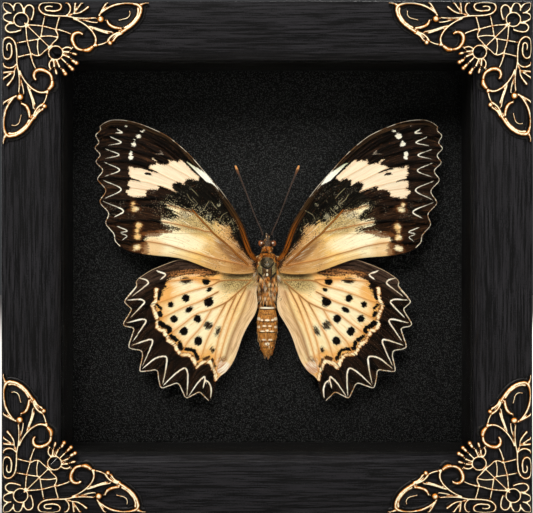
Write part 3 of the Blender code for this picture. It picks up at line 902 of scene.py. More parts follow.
CREAM = [(-31.5, 0.7), (-31.6, 2.0), (-31.2, 3.4), (-31.2, 4.2), (-30.9, 5.2), (-30, 5.9),
         (-28.6, 6.0),
         (-27.5, 6.4), (-26.2, 6.6), (-25, 6.7), (-23.5, 6.7), (-22.6, 7.0), (-23.5, 7.7),
         (-24.6, 7.9),
         (-26, 8.3), (-26.8, 8.9), (-26.9, 9.6), (-26, 9.5), (-25, 9.4), (-24, 9.4), (-23.2, 9.8),
         (-23.1, 10.6), (-23.8, 11.3), (-24.3, 12.0), (-25.2, 12.7), (-25.4, 13.2), (-24.3, 13.0),
         (-23, 12.6), (-22, 12.3), (-21, 12.0), (-20.2, 11.8), (-19.3, 11.6), (-18.6, 11.2),
         (-17.9, 10.7), (-17.2, 10.3), (-16.3, 9.9), (-15.6, 9.2), (-15.2, 8.8), (-14.2, 8.6),
         (-13, 8.9), (-12.6, 8.2), (-12.2, 7.9), (-11.2, 8.0), (-10.2, 8.0), (-9.5, 7.3),
         (-9.2, 6.4),
         (-9.4, 5.4), (-8.8, 4.8), (-8.5, 4.2), (-7.8, 3.6), (-7.3, 2.7), (-7.0, 2.0), (-6.3, 1.6),
         (-6, 1.0), (-5.3, 0.2), (-4.6, -0.8), (-4.0, -1.6), (-3.3, -5), (-12, -6.5), (-20, -4.5),
         (-30, -1.5)]
CELL = [(-17.2, 20.3), (-24.2, 18.3), (-24.5, 16), (-27, 14), (-26, 11), (-24, 9), (-15, 8),
        (-9, 6),
        (-6.6, 2.2), (-6.1, 3.5), (-7.7, 8.3), (-10, 11.8), (-13.5, 16.6)]
BAND = [(-25.2, 24.9), (-24.6, 24.5), (-23.6, 24.6), (-22.9, 24.4), (-22.1, 24.8), (-21.0, 24.0),
        (-20, 22.9),
        (-18.6, 21.6), (-17.2, 20.4), (-17.9, 19.5), (-18.3, 19.4), (-19.3, 19.9), (-20.2, 19.8),
        (-20.9, 19.6), (-21.0, 18.8), (-21.1, 18.3), (-21.6, 18.5), (-22.6, 19.0), (-23.4, 19.0),
        (-24.1, 18.7), (-24.1, 18.0), (-23.8, 17.2), (-23.3, 16.6), (-24.2, 17.0), (-25, 17.3),
        (-26, 17.6), (-27, 18.0), (-27.8, 18.0), (-27.8, 17.4), (-28.6, 17.2), (-29.6, 17.2),
        (-30.4, 17.0), (-30.9, 16.8), (-31, 16.2), (-31.2, 15.6), (-32, 15.4), (-34, 15.3),
        (-35, 15.6),
        (-35.8, 16.1), (-36.0, 16.7), (-35.6, 17.3), (-34.9, 17.6), (-35.6, 18.3), (-35.6, 19.0),
        (-35.1, 19.4), (-34, 19.5), (-32.8, 19.45), (-34.0, 19.85), (-34.8, 20.1), (-35.2, 20.9),
        (-35.5, 21.5), (-35.1, 22.0), (-35.6, 22.8), (-35.0, 23.1), (-34, 22.7), (-32, 22.7),
        (-31, 22.4),
        (-30, 21.9), (-28.2, 21.6), (-29.2, 22.1), (-30.3, 22.8), (-29.5, 23.3), (-28.6, 23.5),
        (-28.5, 24.0), (-29.3, 25.1), (-28.2, 24.2), (-27.5, 23.8), (-26.6, 23.7), (-25.8, 23.6),
        (-25.2, 23.9)]
BAND_HOLE = [(-31.5, 21.3), (-30.8, 21.6), (-30, 21.55), (-29.7, 21.2), (-29.2, 20.7), (-30, 20.85),
             (-31, 21.0)]
STREAK = [(-20.7, 24.2), (-19.4, 23.6), (-18.2, 22.9), (-17.2, 22.3), (-16, 21.5), (-15, 20.4),
          (-14, 19.2), (-12.4, 17.0), (-13.4, 18.1), (-14.6, 18.9), (-15.6, 19.2), (-17, 20.6),
          (-18.4, 22.0), (-19.5, 23.2)]
WHITE_SPOTS = [(-36.1, 33.5, 0.12, 0.1, 0), (-31.8, 32.2, 0.34, 0.2, 20),
               (-32.9, 30.9, 0.62, 0.5, 0),
               (-34.1, 28.8, 0.5, 0.45, -20), (-33.95, 29.4, 0.22, 0.35, 0),
               (-34.9, 26.3, 0.42, 0.5, 0),
               (-34.9, 25.4, 0.5, 0.45, 0)]
WARM_SPOTS = [(-33.9, 12.2, 0.9, 0.6, 10), (-34.3, 13.6, 0.35, 0.5, 0), (-32.9, 7.9, 0.8, 0.85, 0),
              (-33.3, 6.6, 0.4, 0.5, 0), (-33.2, 5.2, 0.8, 0.75, 0), (-33.3, 2.4, 1.1, 0.7, 15)]
CHEVRONS = [[(-38.1, 32.5), (-37.1, 31.8), (-38.5, 31.7)],
            [(-39.9, 30.6), (-37.4, 29.3), (-40.3, 28.6)],
            [(-41.1, 27.5), (-37.9, 26.1), (-41.1, 25.2)],
            [(-41.4, 24.1), (-37.8, 22.2), (-41.25, 20.7)],
            [(-41.7, 19.5), (-37.4, 17.25), (-41.4, 15.0)],
            [(-41.7, 14.1), (-36.8, 11.7), (-38.9, 10.3)],
            [(-38.1, 7.7), (-35.8, 6.6), (-37.1, 6.3)], [(-37.2, 5.9), (-35.9, 5.3), (-36.8, 4.5)]]
FAINT_MARKS = [[(-28.5, 26.3), (-27.5, 26.3), (-26.6, 26.2)], [(-27.3, 27.0), (-26.7, 26.5)]]
FORE_STEM = [[(-5.0, -2.0), (-6.1, -0.9), (-7.5, 0.3), (-9, 1.9), (-10.5, 3.3), (-12, 4.6),
              (-13.5, 5.8),
              (-14.2, 6.5), (-15, 7.5), (-16.5, 9.0), (-18, 10.7), (-19, 11.9)]]
FORE_VEINS = [
    [(-19, 11.9), (-20.4, 13.5), (-21.4, 14.6), (-23.3, 16.6), (-24.8, 17.3), (-27, 18.1),
     (-28.5, 18.4),
     (-31, 19.1), (-33, 19.5), (-35, 19.9), (-43.3, 20)],
    [(-21.4, 14.6), (-26, 15.2), (-33, 14.6), (-42.5, 14.2)],
    [(-18.7, 11.5), (-20, 11.8), (-22, 12.3), (-24.4, 13.0), (-28, 13.2), (-34, 13.0),
     (-40.6, 11.2)],
    [(-14.2, 6.4), (-16, 6.6), (-18, 7.2), (-20, 7.6), (-22, 8.1), (-24, 8.5), (-26, 8.9),
     (-33, 9.3), (-41, 8.6)],
    [(-4.4, -2.4), (-11.7, -0.9), (-15, -0.1), (-17.2, 0.6), (-21.4, 1.8), (-25, 2.9), (-28, 3.5),
     (-30.6, 3.9), (-36, 3.9), (-38.9, 4.1)],
    [(-4.6, 0.2), (-5.5, 1.8), (-7.5, 6), (-9.5, 10.5), (-12, 14.8), (-14, 17.3), (-17.2, 20.4),
     (-20.6, 24), (-24, 27), (-28, 29.8), (-33, 32)],
    [(-4.3, 1), (-5.4, 3.6), (-6.9, 7.4), (-9.2, 11.5), (-12.4, 16), (-16.3, 20.8), (-20.2, 25),
     (-24, 28.5), (-28, 31), (-33, 33)],
    [(-22, 24.5), (-27, 28.3), (-33, 31.6), (-40, 33.4)],
    [(-25, 24.5), (-30, 27.8), (-36, 30.2), (-43.2, 31)],
    [(-19.3, 20.0), (-21, 21.1), (-23.2, 22.3), (-25.4, 23.6), (-28, 25), (-31, 26.2), (-37, 27.6),
     (-44, 27.9)],
    [(-22.9, 19.15), (-25, 20.1), (-27, 21.1), (-28.4, 21.8), (-31, 23.2), (-36, 24.3),
     (-43.9, 24.3)],
]
# black clefts in the band, and the black line between it and the pale streak
CLEFTS = [[(-36, 20.1), (-34, 19.8), (-32.8, 19.4)], [(-31.6, 22.55), (-29.8, 22.3), (-28.2, 21.6)],
          [(-21.6, 25.0), (-20.2, 23.6), (-18.5, 21.9), (-17.0, 20.4), (-15.6, 19.0)]]
FORE_FOLD = [[(-14, 6), (-22, 6), (-32, 6.4), (-40, 6.5)],
             [(-30.8, 17.1), (-33, 17.4), (-35, 17.6), (-41.5, 17.1)],
             [(-36, 22.2), (-42.6, 22.1)], [(-30, 26.5), (-36, 26.1), (-43, 26.1)],
             [(-33, 28.6), (-43.2, 29.3)],
             [(-30, 10.8), (-35, 11.3), (-40.6, 11.1)],
             [(-5.5, -3.2), (-12, -2.4), (-18, -0.8), (-25, 1.2)]]
# thin lines where the dark scales have cracked away
CRACKS = [[(-18.6, 9.9), (-17.2, 11.2), (-16.2, 12.1), (-15.7, 13.0), (-15, 14.1)],
          [(-18.5, 12.9), (-17.9, 13.6), (-18.9, 14.9)],
          [(-12.2, 9.2), (-11.5, 10.6), (-10.4, 11.3), (-9.6, 11.7)],
          [(-12.9, 12.3), (-13.6, 13.1), (-14.2, 14)], [(-10.0, 8.4), (-9.1, 9.2)],
          [(-11.9, 9.1), (-10.9, 8.2)],
          [(-24.6, 14.2), (-23.4, 13.0)], [(-20.4, 15.9), (-19.6, 14.6), (-18.4, 13.6)],
          [(-19.4, 17.4), (-18.2, 16.2), (-17.2, 15)], [(-9.2, 9.6), (-8.6, 8.1), (-8.3, 6.9)]]


def pleats(veins_far, amount):
    """The membrane stands proud along its veins and sinks between them."""
    return -amount * (np.exp(-(veins_far / 0.35) ** 2) * 0.6 + np.exp(-(veins_far / 1.3) ** 2) * 0.6
                      - 0.45)


sheet, s, t = unfold(150, 240)
spots = drape(s, t, FORE_COSTA, FORE_MARGIN, FORE_INNER, FORE_ROOT)
fore_veins, stem, cracks, clefts = (
    threads(spots, lines) for lines in (FORE_VEINS, FORE_STEM, CRACKS, CLEFTS))
chevrons = threads(spots, CHEVRONS + FAINT_MARKS, 8)
fold = threads(spots, FORE_FOLD)
note(sheet.data, cream=area(spots, CREAM), cell=area(spots, CELL), band=area(spots, BAND),
     streak=area(spots, STREAK), white_spots=ovals(spots, WHITE_SPOTS),
     warm_spots=ovals(spots, WARM_SPOTS),
     chevron_far=chevrons[0], chevron_side=chevrons[1], vein_far=fore_veins[0],
     vein_side=fore_veins[1],
     fold_far=fold[0], fold_side=fold[1], stem_far=stem[0], stem_side=stem[1], crack_far=cracks[0],
     crack_side=cracks[1], cleft_far=clefts[0], cleft_side=clefts[1],
     band_hole=area(spots, BAND_HOLE), margin=nearest(spots, flowing(FORE_MARGIN))[0],
     costa=nearest(spots, flowing(FORE_COSTA))[0], inner=nearest(spots, flowing(FORE_INNER))[0],
     left_place=np.column_stack([spots, np.zeros(len(spots))]))
edge = np.minimum(np.minimum(t, 1 - t) * 20, (1 - s) * 30).clip(0, 1)
lift = pleats(np.minimum(fore_veins[0], stem[0]),
              0.13) * edge - 0.15 * np.sin(math.pi * s) * np.sin(math.pi * t)
right = twin(sheet)
lay_uv(sheet, s, t, 50, 35, 0)
lay_uv(right, s, t, 50, 35, 100)
FORE_DEPTH, HIND_DEPTH, MEMBRANE = 1.3, 2.3, 0.11
spread(sheet, "forewing_membrane_left", spots[:, 0], FORE_DEPTH, spots[:, 1], lift, MEMBRANE, False)
turn, grow, (hinge_x, hinge_z) = math.radians(-0.65), 1.011, (3.6, -1.2)
out, up = -spots[:, 0] - hinge_x, spots[:, 1] - hinge_z
spread(right, "forewing_membrane_right",
       hinge_x + grow * (out * math.cos(turn) - up * math.sin(turn)), FORE_DEPTH,
       hinge_z + grow * (out * math.sin(turn) + up * math.cos(turn)), lift, MEMBRANE, True)

scales = ScaleFinish("forewing_scales")
over, mix, tones = scales.over, scales.mix, scales.tones
blot, along, within = scales.blot, scales.along, scales.within
x, z, ragged, cloud = scales.x, scales.z, scales.ragged, scales.cloud
stripe, grain = scales.stripe, scales.grain
cream, margin, costa, vein = (scales.attribute(a) for a in ("cream", "margin", "costa", "vein_far"))
small = scales.flecks(2.5, 0.3)
between = vein.rise(0.15, 1.2)
# brown ground: redder low on the wing, black beside the veins, streaked along them
brown = mix((z + cloud * 6).rise(8, 24), tint(38, 22, 12), tint(34, 23, 17))
scales.paint = mix((stripe + between * 0.1).rise(0.58, 0.48), brown, tint(7, 5, 3))
over(stripe.rise(0.53, 0.6) * between * 0.7, tint(80, 54, 36))
over((costa + ragged * 0.5).rise(1.5, 0.9) * 0.8,
     tones(stripe, 0.44, 0.56, (16, 10, 6), (60, 42, 24)))
over(within("cell", 0.5, 0.8), tones(stripe, 0.42, 0.6, (5, 5, 4), (26, 23, 17)))
glow = (costa + ragged * 0.4 - 0.85).size().rise(0.75, 0.25) * (z + cloud * 4).rise(22, 9)
over(glow, mix((z + ragged * 3).rise(13, 3), tint(58, 40, 20),
               tones(stripe, 0.44, 0.56, (74, 38, 10), (150, 80, 18))))
# cream field, from ivory through straw to tan at the root
ivory = mix((x + cloud * 5).rise(-24, -14), tint(252, 238, 196), tint(248, 202, 118))
ivory = mix(blot(-21.5, 4, 6.5, 2.4, -12, 0.9) * 0.7, ivory, tint(253, 247, 214))
ivory = mix(blot(-29.5, 2.4, 3.4, 2.6, 0, 0.9) * 0.6, ivory, tint(232, 176, 108))
ivory = mix((x - z * 0.35 + cloud * 4).rise(-16.5, -11), ivory, tint(204, 156, 96))
ivory = mix((x + cloud * 3).rise(-9.5, -5.0), ivory, tint(158, 106, 56))
ivory = mix(blot(-18.3, 8.4, 5.8, 2.8, -16, 0.8) * 0.85, ivory,
            tones(grain, 0.44, 0.56, (206, 180, 124), (150, 126, 80)))
ivory = mix(blot(-20.5, 11.2, 3.6, 1.2, 20, 0.8) * 0.9, ivory,
            tones(grain, 0.44, 0.54, (236, 214, 170), (60, 52, 38)))
ivory = mix(blot(-9.6, 1.0, 5.2, 1.3, -44, 0.9) * 0.75, ivory, tint(122, 78, 44))
ivory = mix(stripe.rise(0.53, 0.62) * 0.5, ivory, tint(216, 160, 92))
ivory = mix(stripe.rise(0.46, 0.38) * 0.45, ivory, tint(255, 249, 222))
ivory = mix((scales.attribute("inner") + ragged).rise(1.5, 0.2) * 0.5, ivory, tint(206, 156, 90))
ivory = mix(vein.rise(0.7, 0.12) * 0.4, ivory, tint(206, 142, 74))
ivory = mix((grain + cream * 0.06).rise(0.52, 0.6) * 0.55, ivory, tint(134, 92, 50))
upper = (z * 1.0 - 5.6 + ragged + (x + 14).rise(-2, 6) * 4.0).rise(0.0, 2.4)
ivory = mix(small * upper * (x + 24).rise(0, 3) * 0.85, ivory, tint(56, 46, 28))
ivory = mix(small * cloud.rise(0.46, 0.6) * (x + 18).rise(0, 6) * 0.7, ivory, tint(84, 60, 34))
over(within("cream", 0.4, 2.6), ivory)
# pale dust on the black, thinning outwards from the cream field
dust = cream.rise(3.4, 0.2) * (x + 28).rise(-2.5, 2.5) * (z - 6).rise(-1, 2)
over(small * dust * cloud.rise(0.48, 0.6) * 0.9,
     tones(cloud, 0.4, 0.6, (150, 140, 108), (214, 196, 150)))
over((small * 0.5 + scales.streak - cream * 0.06).rise(0.58, 0.8) * dust * 0.35, tint(120, 110, 82))
over(small * cloud.rise(0.52, 0.6) * (z - 9).rise(0, 2) * (z - 19).rise(1, -2) * 0.5,
     tint(120, 112, 98))
over(along("crack", 0.06, 0.1, 0.25) * cloud.rise(0.42, 0.54) * 0.7, tint(168, 156, 122))
for cx, cz, wide in ((-15.0, 10.3, 0.8), (-17.4, 12.6, 0.5), (-20.9, 10.4, 0.8),
                     (-12.4, 13.3, 0.5)):
    over(blot(cx, cz, wide, wide, 0, 0.8) * grain.rise(0.44, 0.56) * 0.8, tint(176, 166, 136))
scorch = (x + ragged * 3.0 + 30.0).rise(0.8, -1.4) * (z - 4.0).rise(0.2, -0.4) + (grain - 0.5) * 2.0
over(scorch.rise(0.35, 0.85) * (x + 32.3).rise(-0.6, 0.8) * 0.8, tint(124, 76, 40))
for cx, cz, wide, high in ((-29.6, 5.9, 3.0, 0.9), (-26.5, 6.5, 2.6, 0.5)):
    over((blot(cx, cz, wide, high, 0, 0.9) + (grain - 0.5) * 3.0).rise(0.25, 0.8) * 0.85,
         tint(112, 66, 34))
# white band with its veins, and the spots
white = mix(stripe.rise(0.58, 0.44) * 0.8, tint(246, 218, 184), tint(252, 236, 206))
white = mix((scales.attribute("band") + ragged).rise(-0.5, 0.1) * 0.6, white, tint(224, 180, 136))
white = mix(along("vein", 0.08, 0.14, 0.1) * 0.8, white, tint(226, 172, 118))
white = mix(along("fold", 0.1, 0.14, 0.1) * 0.8, white, tint(206, 150, 96))
over(within("band", 0.08, 1.2), white)
over(along("cleft", 0.13, 0.1, 0.3), tint(8, 6, 4))
over(within("band_hole", 0.1, 0.6), tint(30, 19, 12))
# veins and fold
pale = within("cream", 0.4, 0.4)
on_band = within("band", 0.2, 0.2)
over(along("vein", 0.11, 0.1, 0.15) * (1.0 - on_band) * 0.85,
     mix(pale, tint(6, 4, 3), tint(166, 100, 44)))
over(along("fold", 0.08, 0.1, 0.3) * pale * 0.5, tint(178, 124, 68))
over(along("fold", 0.12, 0.12, 0.3) * (1.0 - pale.most(on_band)) * 0.7, tint(5, 4, 3))
over(along("stem", 0.24, 0.1, 0.15) * 0.95, tint(74, 40, 12))
over(along("stem", 0.08, 0.1, 0.15) * 0.8, tint(190, 110, 36))
# spots, chevrons and rims
over(within("streak", 0.12, 0.6), mix((z - 21).rise(0, 3), tint(253, 248, 232),
                                      tint(206, 204, 172)))
over(along("cleft", 0.13, 0.1, 0.2) * (x + 22).rise(0, 1), tint(8, 6, 4))
over(within("white_spots", 0.12, 0.8, 0.05), tint(253, 244, 224))
halo = (scales.attribute("warm_spots") + ragged * 1.4).rise(0.7, 0.1)
over(halo * 0.6, tint(110, 64, 32))
over(within("warm_spots", 0.3, 0.9, -0.05),
     tones(cloud, 0.4, 0.6, (238, 192, 126), (253, 234, 190)))
thin = 0.04 + (x * -1.0 - 36.0).rise(4.6, 0.0) * 0.12 * (z - 6).rise(-2, 4)
over(along("chevron", thin, 0.1, 0.5) * (x + 30).rise(0, -2), tint(255, 246, 228))
over(along("chevron", 0.03, 0.14, 1.0) * (x + 32).rise(0, 2) * 0.6, tint(196, 176, 156))
over((margin + ragged * 0.25).rise(0.28, 0.1) * 0.95,
     mix((scales.speck * 0.6 + cloud * 0.4).rise(0.44, 0.54), tint(150, 104, 62),
         tint(255, 246, 226)))
over((costa + ragged * 0.1).rise(0.2, 0.08) * (z - 14).rise(-6, 8) * 0.85,
     tones(cloud, 0.42, 0.56, (120, 88, 58), (226, 214, 194)))
scales.clothe("forewing", sheet, right)

# ------------------------------------------------------------------ hindwings
# The pair behind: broader and rounder, cream with rows of black dots and a
# dark scalloped border, folded into a soft gutter along the abdomen.
HIND_COSTA = [(-3.0, -3.4), (-8, -2.0), (-15, -1.0), (-22.5, -0.75), (-24, -1.1), (-26.75, -2.1),
              (-29.75, -3.4), (-31.75, -4.6), (-33.25, -5.75), (-33.75, -6.5)]
HIND_MARGIN = [(-33.75, -6.5), (-33.6, -7.4), (-34.75, -9), (-36.1, -10.5), (-36.7, -11.6),
               (-35.5, -12.9), (-35, -13.4), (-35.6, -14.75), (-37, -17.25), (-36.5, -17.9),
               (-34.4, -18.5), (-34.75, -20), (-35.6, -23.2), (-34.75, -23.75), (-32.4, -24.3),
               (-32.1, -25.3), (-32.5, -27.25), (-32.7, -29.4), (-30.5, -29.4), (-28.4, -29.25),
               (-28, -31.25), (-27.2, -33.7), (-25.25, -33.25), (-23, -32.6), (-22, -34.25),
               (-20.8, -36.3), (-19, -35.6), (-17.4, -34.9), (-16.25, -35.9), (-15.1, -37)]
HIND_INNER = [(-2.7, -6.6), (-2.7, -7.6), (-2.75, -9), (-2.5, -11.25), (-2.55, -13), (-3.2, -14.9),
              (-4.1, -16.35), (-5.4, -18.6), (-6.5, -21), (-7.5, -24), (-8.6, -26.75),
              (-9.5, -28.25),
              (-10.6, -29.6), (-12.1, -30.75), (-13, -32), (-13.5, -34), (-14.1, -36), (-15.1, -37)]
HIND_ROOT = [(-3.0, -3.4), (-2.7, -5.0), (-2.7, -6.6)]
DISC = [(-12.6, -4.2), (-14.2, -4.9), (-16, -5.0), (-18, -4.9), (-20, -4.8), (-22, -4.8),
        (-23.6, -5.3),
        (-25, -5.8), (-26, -6.8), (-25.9, -7.9), (-26.8, -8.6), (-27.1, -9.8), (-28.2, -11.2),
        (-28.8, -12),
        (-28.6, -13.2), (-28.1, -14.6), (-27.9, -16.2), (-28.0, -17.8), (-26.6, -18.7),
        (-25.8, -19.9),
        (-25.1, -21.1), (-23.8, -22.1), (-23.0, -23.4), (-22.2, -24.7), (-20.5, -24.9),
        (-19, -25.4),
        (-18.1, -27.1), (-17.6, -27.3), (-16.2, -26.8), (-14.9, -26.5), (-14, -27.6), (-13.5, -29),
        (-13.2, -30.4), (-13.0, -31.5), (-10, -31.5), (-1, -20), (0, -6), (-4.5, -1.5), (-9, -2.6)]
CHAIN = [[(-28.4, -8.3), (-28.5, -9.5), (-28.5, -10.8), (-29, -11.8), (-29.4, -12.7),
          (-29.0, -13.8),
          (-28.5, -15), (-28.2, -16.2), (-28.3, -17.3), (-28, -18.3), (-27.3, -18.8),
          (-26.5, -18.9),
          (-26.2, -19.8), (-25.6, -20.6), (-25.4, -21.4), (-24.5, -22.0), (-23.8, -22.6),
          (-23.2, -23.6),
          (-22.6, -24.6), (-21.9, -25.1), (-21, -25.1), (-20, -25.2), (-19.3, -25.9),
          (-18.6, -27.0),
          (-18.0, -28.3), (-17.2, -27.5), (-16.2, -27.1), (-15, -26.8), (-14.3, -27.6),
          (-13.8, -28.8),
          (-13.3, -30), (-13.1, -31.5)]]
INNER_BARS = [([(-27.6, -9.4), (-27.9, -10.8)], 0.3), ([(-28.2, -12.3), (-27.3, -13.3)], 0.36),
              ([(-27.6, -14.4), (-27.2, -15.2)], 0.45), ([(-27.4, -17.0), (-26.5, -17.8)], 0.6),
              ([(-25.9, -18.0), (-25.2, -18.3), (-25.1, -19.3)], 0.55),
              ([(-24.6, -20.4), (-23.3, -21.3)], 0.5),
              ([(-22.5, -22.0), (-22.2, -23.5)], 0.5), ([(-21.4, -23.6), (-19, -24.0)], 0.42),
              ([(-18.7, -24.3), (-17.7, -26.2)], 0.42), ([(-16.3, -26.2), (-15.0, -25.8)], 0.4),
              ([(-14.0, -26.4), (-13.4, -28.1)], 0.2)]
DOTS = [(-15.7, -6.25, 0.92, 0.85, 0), (-14.8, -8.4, 0.6, 0.42, 30), (-15.1, -11.6, 1.15, 1.15, 0),
        (-14.5, -10.8, 0.4, 0.5, -20), (-20.9, -10.6, 0.92, 0.88, 0),
        (-24.75, -12.25, 0.72, 0.72, 0),
        (-20, -13.6, 0.95, 0.62, 30), (-23.9, -15.95, 0.86, 0.88, 0), (-17.9, -15.9, 0.9, 0.95, 0),
        (-21.4, -19.1, 0.98, 1.05, 0), (-17.7, -21.6, 1.0, 1.1, 0)]
FADED_DOTS = [(-15.2, -17.6, 0.85, 0.85, 0), (-12.6, -19.1, 0.4, 0.8, -25),
              (-14.1, -23.9, 0.4, 0.55, 0),
              (-21.0, -6.1, 1.0, 0.5, 0)]
SCALLOPS = [
    [(-32.6, -5.5), (-31, -6), (-30.5, -6.7), (-31.8, -7.9), (-34.4, -9.9)],
    [(-35.6, -11.1), (-32.25, -11), (-31.5, -11.6), (-32.8, -13.2), (-34.9, -15.4)],
    [(-35.75, -16.9), (-31.6, -16.05), (-31.1, -16.5), (-32.4, -18.6), (-34.25, -21.4)],
    [(-34.4, -22.6), (-29.75, -21.25), (-29.4, -21.6), (-30.4, -24.4), (-31.9, -27.75)],
    [(-31.75, -28.5), (-28.5, -26), (-26.2, -25.6), (-25.8, -26), (-26.0, -28.6), (-26.75, -32.25)],
    [(-26.4, -32.75), (-23, -29.6), (-21.1, -28.6), (-20.5, -29.5), (-20.4, -32.0), (-20.6, -35.5)],
    [(-20, -35.5), (-17.5, -32), (-16.1, -30.8), (-16.0, -31.5), (-16.4, -33.4)],
    [(-15.9, -31.7), (-15, -32.3), (-14.4, -34), (-14.5, -36)],
    [(-28, -3.75), (-26.1, -4.6), (-27.1, -5.6)]]
HIND_VEINS = [
    [(-12.3, -5.9), (-18, -5.6), (-26, -6.4), (-33.7, -7.3)],
    [(-4, -6), (-12, -6.2), (-14, -7.2), (-20, -8.9), (-28.5, -11.9), (-35.2, -13.2)],
    [(-12.6, -9), (-17, -11.3), (-21.5, -13), (-28, -16.1), (-34.8, -18.6)],
    [(-4.4, -6.4), (-8, -9.6), (-10.4, -11.6), (-14.5, -13.5), (-18, -14.6), (-22, -17.6),
     (-25.3, -20), (-32, -25)],
    [(-14.3, -13.5), (-17, -18), (-20.5, -22), (-22, -24.6), (-28.5, -29.3)],
    [(-10.4, -11.6), (-12.8, -16), (-15.5, -21.5), (-17.3, -26.5), (-20, -30), (-23.3, -32.7)],
    [(-7.8, -9.4), (-10.5, -15.5), (-12.7, -22), (-13.6, -27), (-14.6, -31), (-17.2, -35)],
    [(-5.5, -8), (-8, -13), (-10.5, -20), (-12.2, -26), (-13.2, -30)]]
HIND_FOLDS = [[(-4.5, -9), (-6.5, -14.5), (-9, -20.5), (-10.8, -26.5)],
              [(-14, -4.4), (-22, -3.8), (-27.5, -4.3)],
              [(-3.6, -6), (-5.3, -4.6), (-6.4, -5.6)]]

sheet, s, t = unfold(220, 160)
spots = drape(s, t, HIND_COSTA, HIND_MARGIN, HIND_INNER, HIND_ROOT)
hind_veins, scallops, chain, folds = (
    threads(spots, lines) for lines in (HIND_VEINS, SCALLOPS, CHAIN, HIND_FOLDS))
bars = np.min([nearest(spots, flowing(line, 3))[0] - radius for line, radius in INNER_BARS], axis=0)
inner = nearest(spots, flowing(HIND_INNER))[0]
note(sheet.data, disc=area(spots, DISC), dots=ovals(spots, DOTS),
     faded_dots=ovals(spots, FADED_DOTS),
     bars=bars, chain=chain[0], scallop_far=scallops[0], scallop_side=scallops[1],
     vein_far=hind_veins[0], vein_side=hind_veins[1], fold_far=folds[0], fold_side=folds[1],
     margin=nearest(spots, flowing(HIND_MARGIN))[0], costa=nearest(spots, flowing(HIND_COSTA))[0],
     inner=inner, left_place=np.column_stack([spots, np.zeros(len(spots))]))
edge = np.minimum(np.minimum(t, 1 - t) * 20, (1 - s) * 30).clip(0, 1)
gutter = np.exp(-(inner / 2.2) ** 2) * np.sin(math.pi * s) * 0.5
lift = pleats(hind_veins[0], 0.12) * edge - 0.1 * np.sin(math.pi * s) * np.sin(math.pi * t) + gutter
right = twin(sheet)
lay_uv(sheet, s, t, 38, 35, 0)
lay_uv(right, s, t, 38, 35, 100)
spread(sheet, "hindwing_membrane_left", spots[:, 0], HIND_DEPTH, spots[:, 1], lift, MEMBRANE, False)
spread(right, "hindwing_membrane_right", -1.005 * spots[:, 0], HIND_DEPTH, spots[:, 1], lift,
       MEMBRANE,
       True)

scales = ScaleFinish("hindwing_scales")
over, mix, tones = scales.over, scales.mix, scales.tones
blot, along, within = scales.blot, scales.along, scales.within
x, z, ragged, cloud = scales.x, scales.z, scales.ragged, scales.cloud
stripe, grain = scales.stripe, scales.grain
disc, margin, costa, inner, vein = (
    scales.attribute(a) for a in ("disc", "margin", "costa", "inner", "vein_far"))
small = scales.flecks(2.5, 0.3)
dark = mix((vein + ragged).rise(0.1, 1.2), tint(10, 6, 4), tint(36, 23, 15))
scales.paint = mix(stripe.rise(0.54, 0.44), dark, tint(12, 8, 5))
over(stripe.rise(0.53, 0.6) * 0.55, tint(64, 44, 30))
top = tones(stripe, 0.42, 0.58, (32, 22, 16), (84, 64, 52))
over((costa + ragged).rise(4.2, 2.4) * 0.8, top)
scorch = blot(-19.5, -4.2, 8.0, 1.2, 4, 0.9) * (x + 28).rise(0, 4)
over((scorch + (stripe - 0.5) * 3.0 + (grain - 0.5) * 4.0).rise(0.35, 0.75) * 0.9,
     mix((grain * 0.6 + scales.streak * 0.4).rise(0.46, 0.53), tint(196, 130, 74),
         tint(40, 24, 14)))
# cream disc
cream = mix((disc + cloud * 5).rise(1.6, -1.6), tint(240, 176, 98), tint(251, 230, 180))
cream = mix(blot(-19, -8.2, 7, 2, -22, 0.9) * 0.7, cream, tint(252, 242, 204))
cream = mix(blot(-18.5, -16.5, 6.0, 6.0, 0, 0.9) * 0.6, cream, tint(252, 242, 206))
cream = mix((x + cloud * 4 + z * 0.15).rise(-13.5, -7.5) * 0.6, cream, tint(246, 200, 124))
cream = mix(stripe.rise(0.52, 0.6) * 0.55, cream, tint(232, 176, 100))
cream = mix(stripe.rise(0.46, 0.38) * 0.5, cream, tint(254, 246, 214))
cream = mix((vein + ragged * 1.2).rise(0.7, 0.1) * 0.55, cream, tint(228, 154, 78))
fold = (inner + ragged * 1.6).rise(3.4, 1.8) * (z + 4).rise(0, -5) * (z + 26).rise(-3, 3)
cream = mix(fold * 0.9, cream, tones(stripe, 0.44, 0.6, (238, 202, 156), (188, 142, 98)))
cream = mix((inner + ragged).rise(0.8, 0.2) * 0.5, cream, tint(236, 210, 172))
cream = mix(scales.attribute("fold_far").rise(0.9, 0.1) * (inner - 5).rise(1, -1) * 0.6, cream,
            tint(168, 114, 66))
cream = mix(blot(-11.5, -28.4, 1.5, 2.4, 20, 0.8) * 0.85, cream,
            tones(stripe, 0.44, 0.56, (254, 242, 218), (214, 160, 112)))
cream = mix(blot(-11.6, -26.3, 1.4, 0.8, 10, 0.9) * grain.rise(0.44, 0.54) * 0.85, cream,
            tint(112, 72, 40))
base = blot(-7.2, -6.3, 5.6, 2.8, 12, 0.8)
cream = mix(base * 0.95, cream, tones(grain, 0.44, 0.56, (196, 170, 112), (120, 98, 60)))
cream = mix(base * small * cloud.rise(0.42, 0.58) * 0.8, cream, tint(48, 38, 24))
cream = mix(blot(-6.5, -3.9, 5.0, 1.5, 14, 0.9) * 0.75, cream,
            tones(stripe, 0.44, 0.56, (92, 64, 36), (40, 26, 16)))
cream = mix((grain + disc * 0.1).rise(0.5, 0.58) * 0.65, cream, tint(150, 98, 52))
